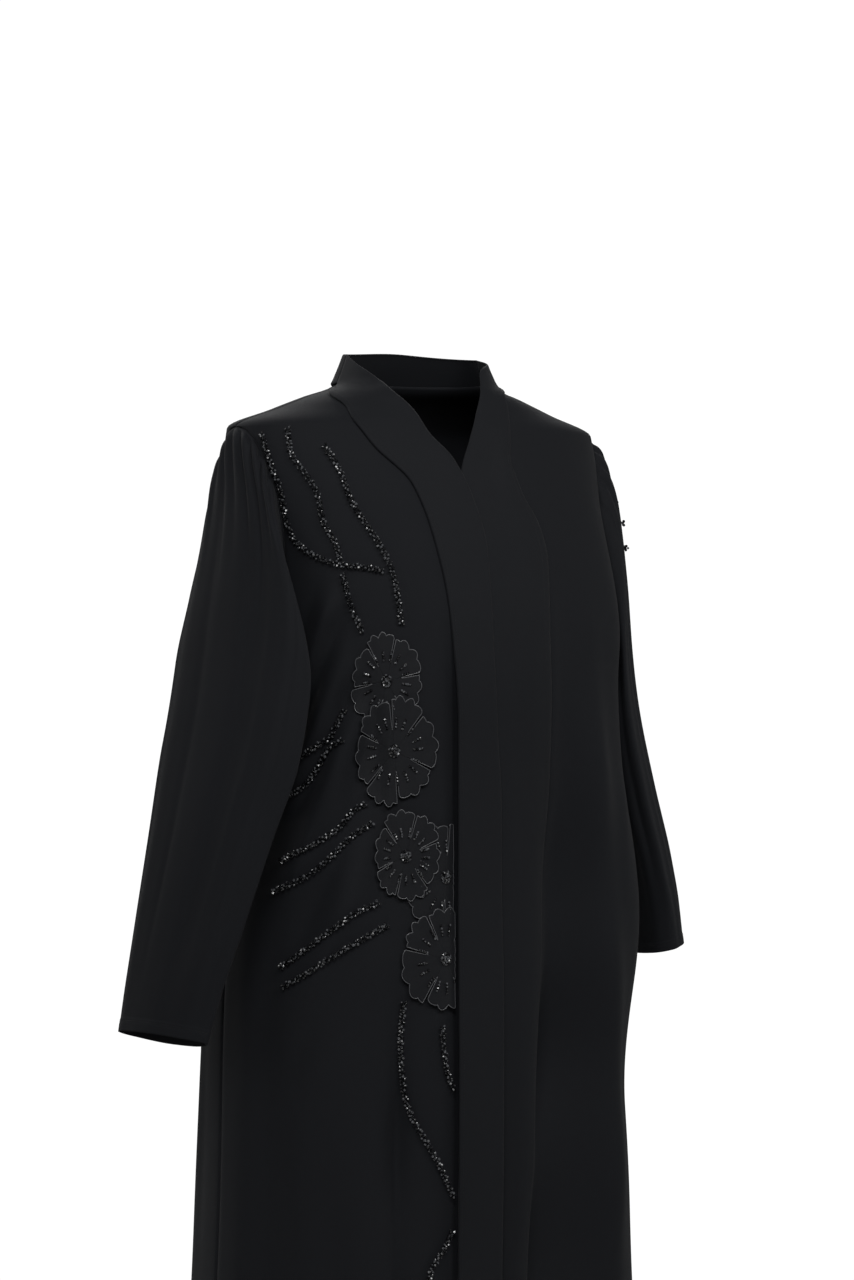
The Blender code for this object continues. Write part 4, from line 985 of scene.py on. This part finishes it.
def flower_petals(number, look):
    """Thin cloth petals: fans from the heart, joined inside and parted by slits outside."""
    across, height, radius, base, _ = flower_frame(number)
    rings, steps = 26, 30
    out = np.linspace(0.03, 1.0, rings)[:, None, None]
    petal = np.arange(PETALS)[None, :, None]
    share = np.linspace(0.0, 1.0, steps)[None, None, :]
    gap = SLIT_HALF * ease((out - SLIT_REACH) / 0.1)
    first, last = petal_sides(number, petal)
    degrees = first + gap + (last - first - 2.0 * gap) * share
    reach = petal_rim(radius * (PETAL_MEAN + 0.06 * np.sin(petal * 2.3 + number)), share) * out
    direction = np.radians(degrees)
    reach = cut_short(across, height, reach, direction)
    x, z = flower_place(across, height, reach, direction)
    lift = petal_lift(base, share, out) + 0.012 * (petal % 2)
    points, normal = on_front(x, z, lift)
    points = np.moveaxis(points, 1, 0)
    faces = grid_faces(rings, steps)
    every = np.concatenate([faces + k * rings * steps for k in range(PETALS)])
    flat = points.reshape(-1, 3)
    cross = np.cross(flat[every[:, 1]] - flat[every[:, 0]], flat[every[:, 3]] - flat[every[:, 0]])
    if (cross * np.moveaxis(normal, 1, 0).reshape(-1, 3)[every[:, 0]]).sum() < 0.0:
        every = every[:, ::-1].copy()
    piece = mesh_piece(f"flower_{number + 1}_petals", flat, every, look)
    piece.data.shade_smooth()
    shell = piece.modifiers.new("cloth", "SOLIDIFY")
    shell.thickness = PETAL_SHEET
    shell.offset = -1.0
    return piece


def edging_line(number, petal):
    """The outline of one petal from its slit's end, out, round the wavy rim and back."""
    across, height, radius, base, _ = flower_frame(number)
    out = np.linspace(SLIT_REACH, 1.0, 16)
    share = np.concatenate([np.zeros(16), np.linspace(0.0, 1.0, 66)[1:-1], np.ones(16)])
    out = np.concatenate([out, np.ones(64), out[::-1]])
    gap = SLIT_HALF * ease((out - SLIT_REACH) / 0.1) + 0.6
    first, last = petal_sides(number, petal)
    direction = np.radians(first + gap + (last - first - 2.0 * gap) * share)
    reach = petal_rim(radius * (PETAL_MEAN + 0.06 * np.sin(petal * 2.3 + number)), share) * out
    reach = cut_short(across, height, reach, direction)
    x, z = flower_place(across, height, reach, direction)
    return on_front(x, z, petal_lift(base, share, out) + 0.012 * (petal % 2) + 0.015)


def tube_points(line, normals, wide, high, sides):
    """Rings of a flattened tube along a line: wide beside it and high along the normals."""
    ahead = np.gradient(line, axis=0)
    ahead /= np.linalg.norm(ahead, axis=-1, keepdims=True)
    beside = np.cross(normals, ahead)
    beside /= np.linalg.norm(beside, axis=-1, keepdims=True)
    turn = 2.0 * np.pi * np.arange(sides) / sides
    across = np.cos(turn)[None, :, None] * beside[:, None] * wide
    return line[:, None] + across + np.sin(turn)[None, :, None] * normals[:, None] * high


def tube_faces(rows, sides):
    """Faces of a tube with both ends closed by fans."""
    faces = [tuple(f) for f in grid_faces(rows, sides, ring=True)]
    faces.append(tuple(range(sides))[::-1])
    faces.append(tuple(range((rows - 1) * sides, rows * sides)))
    return faces


def flower_edging(number, look):
    """The satin cord that binds each petal's edge."""
    sides = 8
    points, faces = [], []
    for petal in range(PETALS):
        line, normals = edging_line(number, petal)
        rings = tube_points(line, normals, EDGING_RADIUS, EDGING_RADIUS * 0.75, sides)
        start = sum(len(ring) for ring in points)
        points.append(rings.reshape(-1, 3))
        faces += [tuple(start + i for i in f) for f in tube_faces(len(rings), sides)]
    piece = mesh_piece(f"flower_{number + 1}_edging", np.vstack(points), faces, look)
    piece.data.shade_smooth()
    return piece


def flower_beads(number, look):
    """A ring of short bead dashes and a domed cluster of beads at the heart."""
    across, height, radius, base, turn = flower_frame(number)
    dash = np.radians(np.arange(DASHES) * 360.0 / DASHES + turn + 5.0)[:, None]
    place = np.linspace(*DASH_PLACE, 4)[None, :] * radius
    dash = dash + 0.03 * np.sin(7.0 * dash + number)
    dash, place = np.broadcast_arrays(dash, place)
    room = cut_short(across, height, place + 0.25, dash) > place + 0.2
    x, z = flower_place(across, height, place[room], dash[room])
    out = place[room] / radius
    dashes, _ = on_front(x, z, petal_lift(base, 0.5 * np.ones_like(out), out) + 0.1)
    hearts = []
    for tier, (reach, count) in enumerate(HEART_BEADS):
        spin = 2.0 * np.pi * np.arange(count) / count + 0.3 * tier
        x, z = flower_place(across, height, reach, spin)
        ring, _ = on_front(x, z, np.full(count, base + 0.3 - 0.45 * reach))
        hearts.append(ring)
    places = np.vstack([dashes, *hearts])
    sizes = np.full(len(places), BEAD_RADIUS * 0.85)
    sizes[len(dashes) :] = BEAD_RADIUS * 1.1
    turns = random_turns(len(places), 60 + number)
    return scatter(f"flower_{number + 1}_beads", places, turns, sizes, bead_shape(), look)


def stitch_row(name, line, normals, look):
    """A row of running stitches along a line: thread lozenges, sunk to half their height."""
    length = np.concatenate([[0.0], np.cumsum(np.linalg.norm(np.diff(line, axis=0), axis=1))])
    count = int(length[-1] / STITCH_STEP)
    at = (np.arange(count) + 0.5) * length[-1] / count
    place = np.stack([np.interp(at, length, line[:, k]) for k in range(3)], axis=-1)
    up = np.stack([np.interp(at, length, normals[:, k]) for k in range(3)], axis=-1)
    tangent = np.gradient(line, axis=0)
    ahead = np.stack([np.interp(at, length, tangent[:, k]) for k in range(3)], axis=-1)
    ahead /= np.linalg.norm(ahead, axis=-1, keepdims=True)
    beside = np.cross(up, ahead)
    long, wide, high = STITCH_SIZE
    turns = np.stack([ahead * long, beside * wide, up * high], axis=-1)
    shape = np.array([(1, 0, 0), (-1, 0, 0), (0, 1, 0), (0, -1, 0), (0, 0, 1), (0, 0, -1)], float)
    upper = [(0, 2, 4), (2, 1, 4), (1, 3, 4), (3, 0, 4)]
    lower = [(2, 0, 5), (1, 2, 5), (3, 1, 5), (0, 3, 5)]
    faces = np.array(upper + lower)
    return scatter(name, place, turns, np.ones(count), (shape, faces), look)


def shader_of(look, colour, roughness, sheen=0.0, sheen_roughness=0.5, specular=0.5, coat=0.0):
    """The Principled shader of a new material, with its plain values set."""
    look.use_nodes = True
    shader = look.node_tree.nodes["Principled BSDF"]
    shader.inputs["Base Color"].default_value = (*colour, 1.0)
    shader.inputs["Roughness"].default_value = roughness
    shader.inputs["Sheen Weight"].default_value = sheen
    shader.inputs["Sheen Roughness"].default_value = sheen_roughness
    shader.inputs["Specular IOR Level"].default_value = specular
    shader.inputs["Coat Weight"].default_value = coat
    return shader


def object_place(look):
    """The Object coordinates that a material's textures read."""
    return look.node_tree.nodes.new("ShaderNodeTexCoord").outputs["Object"]


def add_texture(look, kind, place, **values):
    """A texture of a material that reads a place, with plain values set on its named inputs."""
    texture = look.node_tree.nodes.new("ShaderNodeTex" + kind)
    for name, value in values.items():
        texture.inputs[name.title()].default_value = value
    look.node_tree.links.new(place, texture.inputs["Vector"])
    return texture


def add_sum(look, operation, *values):
    """The result of a sum over sockets and plain numbers."""
    node = look.node_tree.nodes.new("ShaderNodeMath")
    node.operation = operation
    for socket, value in zip(node.inputs, values):
        if isinstance(value, float):
            socket.default_value = value
        else:
            look.node_tree.links.new(value, socket)
    return node.outputs["Value"]


def spread_roughness(look, shader, factor, low, high):
    """Lets a texture's factor carry the roughness from low to high."""
    spread = look.node_tree.nodes.new("ShaderNodeMapRange")
    spread.inputs["To Min"].default_value = low
    spread.inputs["To Max"].default_value = high
    look.node_tree.links.new(factor, spread.inputs["Value"])
    look.node_tree.links.new(spread.outputs["Result"], shader.inputs["Roughness"])


def spread_colour(look, shader, factor, dark, light):
    """Lets a factor carry the colour from dark to light."""
    tone = look.node_tree.nodes.new("ShaderNodeMix")
    tone.data_type = "RGBA"
    tone.inputs["A"].default_value = (*dark, 1.0)
    tone.inputs["B"].default_value = (*light, 1.0)
    look.node_tree.links.new(factor, tone.inputs["Factor"])
    look.node_tree.links.new(tone.outputs["Result"], shader.inputs["Base Color"])


def add_bump(look, shader, height, strength, distance):
    """A bump from a texture's factor. The distance is in metres."""
    bump = look.node_tree.nodes.new("ShaderNodeBump")
    bump.inputs["Strength"].default_value = strength
    bump.inputs["Distance"].default_value = distance
    look.node_tree.links.new(height, bump.inputs["Height"])
    look.node_tree.links.new(bump.outputs["Normal"], shader.inputs["Normal"])


def crepe_look(name, colour, roughness, sheen):
    """Matt crepe: a pebbled weave in the cut's own coordinates, a faint cloudiness of colour and
    nap, and a slight sheen at grazing angles."""
    look = bpy.data.materials.new(name)
    shader = shader_of(look, colour, roughness, sheen=sheen, sheen_roughness=0.4, specular=0.16)
    cut = look.node_tree.nodes.new("ShaderNodeUVMap")
    cut.uv_map = "cut"
    cut = cut.outputs["UV"]
    cloud = add_texture(look, "Noise", object_place(look), scale=9.0, detail=3.0).outputs["Fac"]
    pebble = add_texture(look, "Noise", cut, scale=95.0, detail=2.0, roughness=0.6).outputs["Fac"]
    threads = []
    for direction in "XY":
        thread = add_texture(look, "Wave", cut, scale=60.0, distortion=2.5, detail=1.0)
        thread.bands_direction = direction
        threads.append(thread.outputs["Fac"])
    weave = add_sum(look, "MULTIPLY", *threads)
    add_bump(look, shader, add_sum(look, "MULTIPLY_ADD", weave, 0.55, pebble), 0.35, 0.00035)
    blend = add_sum(look, "MULTIPLY_ADD", cloud, 0.5, add_sum(look, "MULTIPLY", pebble, 0.5))
    dark, light = [c * 0.86 for c in colour], [c * 1.16 for c in colour]
    spread_colour(look, shader, blend, dark, light)
    spread_roughness(look, shader, cloud, roughness - 0.06, roughness + 0.06)
    return look


def petal_look():
    """Thin appliqué cloth: a close slanting weave with a dull glow."""
    look = bpy.data.materials.new("petal cloth")
    shader = shader_of(look, (0.0076, 0.0082, 0.0102), 0.62, sheen=0.03, specular=0.18)
    place = object_place(look)
    slant = look.node_tree.nodes.new("ShaderNodeMapping")
    slant.inputs["Rotation"].default_value = (0.3, 0.7, 0.4)
    look.node_tree.links.new(place, slant.inputs["Vector"])
    twill = add_texture(look, "Wave", slant.outputs["Vector"], scale=520.0, distortion=1.5)
    grain = add_texture(look, "Noise", place, scale=260.0)
    spread_roughness(look, shader, grain.outputs["Fac"], 0.56, 0.72)
    add_bump(look, shader, twill.outputs["Fac"], 0.3, 0.0003)
    return look


def satin_look():
    """Satin binding: fine ribs of thread round the cord, and a clear shine."""
    look = bpy.data.materials.new("satin binding")
    shader = shader_of(look, (0.07, 0.072, 0.078), 0.34, specular=0.7, coat=0.2)
    threads = add_texture(look, "Noise", object_place(look), scale=420.0, detail=2.0)
    spread_roughness(look, shader, threads.outputs["Fac"], 0.2, 0.42)
    add_bump(look, shader, threads.outputs["Fac"], 0.35, 0.0004)
    return look


def bead_look():
    """Glossy black glass-like beads, with a silvery lining in some of them."""
    look = bpy.data.materials.new("cut beads")
    shader = shader_of(look, (0.006, 0.006, 0.007), 0.12, specular=0.6, coat=0.35)
    place = object_place(look)
    patches = add_texture(look, "Voronoi", place, scale=430.0)
    spread_roughness(look, shader, patches.outputs["Distance"], 0.1, 0.24)
    lining = add_texture(look, "Noise", place, scale=310.0, detail=0.0)
    some = look.node_tree.nodes.new("ShaderNodeMapRange")
    some.inputs["From Min"].default_value = 0.52
    some.inputs["From Max"].default_value = 0.6
    look.node_tree.links.new(lining.outputs["Fac"], some.inputs["Value"])
    dark, light = (0.004, 0.004, 0.005), (0.085, 0.088, 0.095)
    spread_colour(look, shader, some.outputs["Result"], dark, light)
    return look


def thread_look():
    """Sewing thread, a shade off the cloth."""
    look = bpy.data.materials.new("sewing thread")
    shader = shader_of(look, (0.0085, 0.0086, 0.0095), 0.6, sheen=0.02, specular=0.2)
    ply = add_texture(look, "Noise", object_place(look), scale=900.0)
    spread_roughness(look, shader, ply.outputs["Fac"], 0.42, 0.6)
    return look


def floor_look():
    """A plain pale floor with a faint unevenness."""
    look = bpy.data.materials.new("floor")
    shader = shader_of(look, (0.82, 0.82, 0.81), 0.7, specular=0.3)
    cloud = add_texture(look, "Noise", object_place(look), scale=2.0)
    spread_roughness(look, shader, cloud.outputs["Fac"], 0.64, 0.76)
    return look


def add_camera():
    """The photograph's view: level, from the wearer's right front."""
    turn = VIEW_TURN
    target = np.array([0.00606, -0.0035, VIEW_HEIGHT * CM])
    back = np.array([-np.sin(turn), -np.cos(turn), 0.0])
    camera = bpy.data.cameras.new("camera")
    camera.sensor_fit = "VERTICAL"
    camera.angle_y = 2.0 * np.arctan(HALF_FRAME / (VIEW_DISTANCE * CM))
    camera.clip_end = 60.0
    made = bpy.data.objects.new("camera", camera)
    made.location = target + back * VIEW_DISTANCE * CM
    made.rotation_euler = (np.pi / 2.0, 0.0, -turn)
    bpy.context.scene.collection.objects.link(made)
    bpy.context.scene.camera = made


def add_light(name, azimuth, elevation, distance, size, power, aim=-0.35):
    """A square soft light that looks at the cloak. Azimuth 0 is straight in front of the wearer,
    and minus is towards the wearer's right."""
    lamp = bpy.data.lights.new(name, "AREA")
    lamp.shape = "SQUARE"
    lamp.size = size
    lamp.energy = power
    made = bpy.data.objects.new(name, lamp)
    turn, lift = np.radians(azimuth), np.radians(elevation)
    away = np.array([np.sin(turn) * np.cos(lift), -np.cos(turn) * np.cos(lift), np.sin(lift)])
    made.location = away * distance + np.array([0.0, 0.0, aim])
    made.rotation_euler = (np.pi / 2.0 - lift, 0.0, turn)
    bpy.context.scene.collection.objects.link(made)


def add_studio():
    """A pale floor under the hem, a white surround and six soft lights."""
    turn = np.linspace(0.0, 2.0 * np.pi, 96, endpoint=False)
    rim = np.stack([150.0 * np.cos(turn), 150.0 * np.sin(turn), np.full(96, FLOOR_LEVEL)], axis=-1)
    floor = mesh_piece("floor", rim, [tuple(range(96))], floor_look())
    world = bpy.data.worlds.new("surround")
    world.use_nodes = True
    bpy.context.scene.world = world
    shade = world.node_tree.nodes["Background"]
    shade.inputs["Color"].default_value = (1.0, 1.0, 1.0, 1.0)
    nodes, links = world.node_tree.nodes, world.node_tree.links
    path = nodes.new("ShaderNodeLightPath")
    strength = nodes.new("ShaderNodeMapRange")
    strength.inputs["To Min"].default_value = 0.09
    strength.inputs["To Max"].default_value = 1.05
    links.new(path.outputs["Is Camera Ray"], strength.inputs["Value"])
    links.new(strength.outputs["Result"], shade.inputs["Strength"])
    add_light("key", -32.0, 38.0, 2.8, 0.9, 29.0, aim=-0.45)
    add_light("front", 10.0, 40.0, 2.8, 0.9, 22.0, aim=-0.45)
    add_light("left side", 66.0, 24.0, 2.9, 0.9, 9.0, aim=-0.9)
    add_light("right side", -84.0, 22.0, 3.0, 1.2, 7.0, aim=-0.5)
    add_light("rear left", 150.0, 38.0, 3.0, 1.6, 24.0)
    add_light("rear right", -150.0, 38.0, 3.0, 1.6, 24.0)
    bpy.context.scene.view_settings.view_transform = "Standard"


def place_piece(piece, slot, *nodes):
    """Rides on the one body and stands for solids. The slot is not used."""
    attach(piece, "root")
    if nodes:
        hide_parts(*nodes)


def make_cloth(crepe, band_crepe):
    """The five cloth panels and the band's three lengths."""
    right, right_out = front_grid(
        right_face, RIGHT_SEAM, RIGHT_EDGE, RIGHT_TUCK, RIGHT_SIDE, -1.0, 74
    )
    left, left_out = front_grid(
        left_side_face, LEFT_SEAM, LEFT_EDGE, LEFT_TUCK, LEFT_SIDE, 1.0, 62
    )
    back, back_out = back_grid(122)
    panels = (
        ("cloth_front_right", right, right_out, "front_right", (0.33, 1.40), 0.36),
        ("cloth_front_left", left, left_out, "front_left", (0.36, 1.40), 0.375),
        ("cloth_back", back, back_out, "back", (0.75, 1.41), 0.84),
    )
    for name, grid, outward, node, flat, area in panels:
        piece = cloth_piece(name, grid, outward, crepe)
        place_piece(piece, "crepe", node)
    sleeves = (
        ("right", *RIGHT_TUBE, (0.45, 0.61), 0.18),
        ("left", *LEFT_TUBE, (0.37, 0.56), 0.157),
    )
    for name, table, side, seed, flat, area in sleeves:
        grid, outward, _ = sleeve_grid(table, side, sleeve_rows(), sleeve_columns(), seed)
        grid = np.vstack([armhole_tuck(side, sleeve_columns())[None], grid])
        outward = np.vstack([outward[:1], outward])
        piece = cloth_piece(f"cloth_sleeve_{name}", grid, outward, crepe, ring=True)
        place_piece(piece, "crepe", f"sleeve_{name}")
    right_band = front_band_grid(face, RIGHT_SEAM, RIGHT_EDGE, 330, 15, False)
    left_band = front_band_grid(left_face, LEFT_SEAM, LEFT_EDGE, 330, 17, True)
    bands = (
        ("band_cloth_right", right_band, "band_right", (0.05, 1.50)),
        ("band_cloth_left", left_band, "band_left", (0.075, 1.48)),
        ("band_cloth_neck", neck_band_grid(90, 13), "band_neck", (0.035, 0.26)),
    )
    for name, (grid, outward), node, flat in bands:
        piece = cloth_piece(name, grid, outward, band_crepe, wall=BAND_CLOTH)
        place_piece(piece, "band_crepe", node)


def make_trim(petal_cloth, satin, beads):
    """The flowers and the bead ropes."""
    for number in range(len(FLOWERS)):
        petals = flower_petals(number, petal_cloth)
        place_piece(petals, "satin", f"flower_{number + 1}")
        edging = flower_edging(number, satin)
        place_piece(edging, "satin")
        hearts = flower_beads(number, beads)
        place_piece(hearts, "beads")
    ropes = [(name, *front_rope(drawn)) for name, drawn in FRONT_STRANDS.items()]
    ropes += [(f"strand_sleeve_{n}", *sleeve_rope(*row)) for n, row in enumerate(SLEEVE_ROWS, 1)]
    for number, (name, line, normals) in enumerate(ropes):
        places, sizes = rope_places(line, normals, 100 + number)
        turns = random_turns(len(places), 300 + number)
        piece = scatter(name.replace("strand", "rope"), places, turns, sizes, bead_shape(), beads)
        place_piece(piece, "beads", name)


def make_stitches(thread):
    """Sewing: a row above the hem on each panel, round each cuff, and down each band's edges."""
    rows = []
    above = -LENGTH + HEM - 0.1
    for name, surface, first, last in (
        ("front_right", right_face, RIGHT_SEAM[-1, 0] + 0.5, 179.5),
        ("front_left", left_face, 0.5, LEFT_SEAM[-1, 0] - 0.5),
        ("back", face, 180.5, 359.5),
    ):
        angle = np.linspace(first, last, 400)
        level = np.full(400, above)
        normal = facing(surface, angle, level)
        rows.append((f"stitches_hem_{name}", surface(angle, level), normal, 0.02))
    for name, surface, seam, edge in (
        ("right", face, RIGHT_SEAM, RIGHT_EDGE),
        ("left", left_face, LEFT_SEAM, LEFT_EDGE),
    ):
        knots = np.arange(len(seam), dtype=float)
        place = band_rows(seam, 500)
        seam_line, edge_line = smooth(knots, seam, place), smooth(knots, edge, place)
        line = seam_line + (edge_line - seam_line) * 0.09
        point, normal = surface(line[:, 0], line[:, 1]), facing(surface, line[:, 0], line[:, 1])
        lift = neck_lift(line[:, 1:])[:, 0]
        above_seam = BAND_LIFT + BAND_WALL + 0.005
        rows.append((f"stitches_band_{name}", point + normal * lift[:, None], normal, above_seam))
    for name, table, side, seed in (("right", *RIGHT_TUBE), ("left", *LEFT_TUBE)):
        places = np.array([9.5, 10.0 - (HEM - 0.12) / SECTION_STEP, 10.0])
        columns = np.linspace(0.0, 360.0, 241)[:-1]
        grid, normal, _ = sleeve_grid(table, side, places, columns, seed)
        rows.append((f"stitches_cuff_{name}", grid[1], normal[1], 0.03))
    for name, line, normals, lift in rows:
        piece = stitch_row(name, line + normals * lift, normals, thread)
        place_piece(piece, "crepe")


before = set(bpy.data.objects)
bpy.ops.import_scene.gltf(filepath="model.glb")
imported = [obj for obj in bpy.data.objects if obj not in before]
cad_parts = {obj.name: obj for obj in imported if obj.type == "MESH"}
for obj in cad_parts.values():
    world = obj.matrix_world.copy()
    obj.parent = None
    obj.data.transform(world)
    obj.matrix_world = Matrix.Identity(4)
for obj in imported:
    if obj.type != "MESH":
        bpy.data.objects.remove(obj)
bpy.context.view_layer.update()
add_camera()
add_studio()
crepe = crepe_look("crepe cloth", (0.0074, 0.0081, 0.0102), 0.76, 0.035)
band_crepe = crepe_look("band cloth", (0.0078, 0.0085, 0.0105), 0.72, 0.035)
make_cloth(crepe, band_crepe)
make_trim(petal_look(), satin_look(), bead_look())
make_stitches(thread_look())
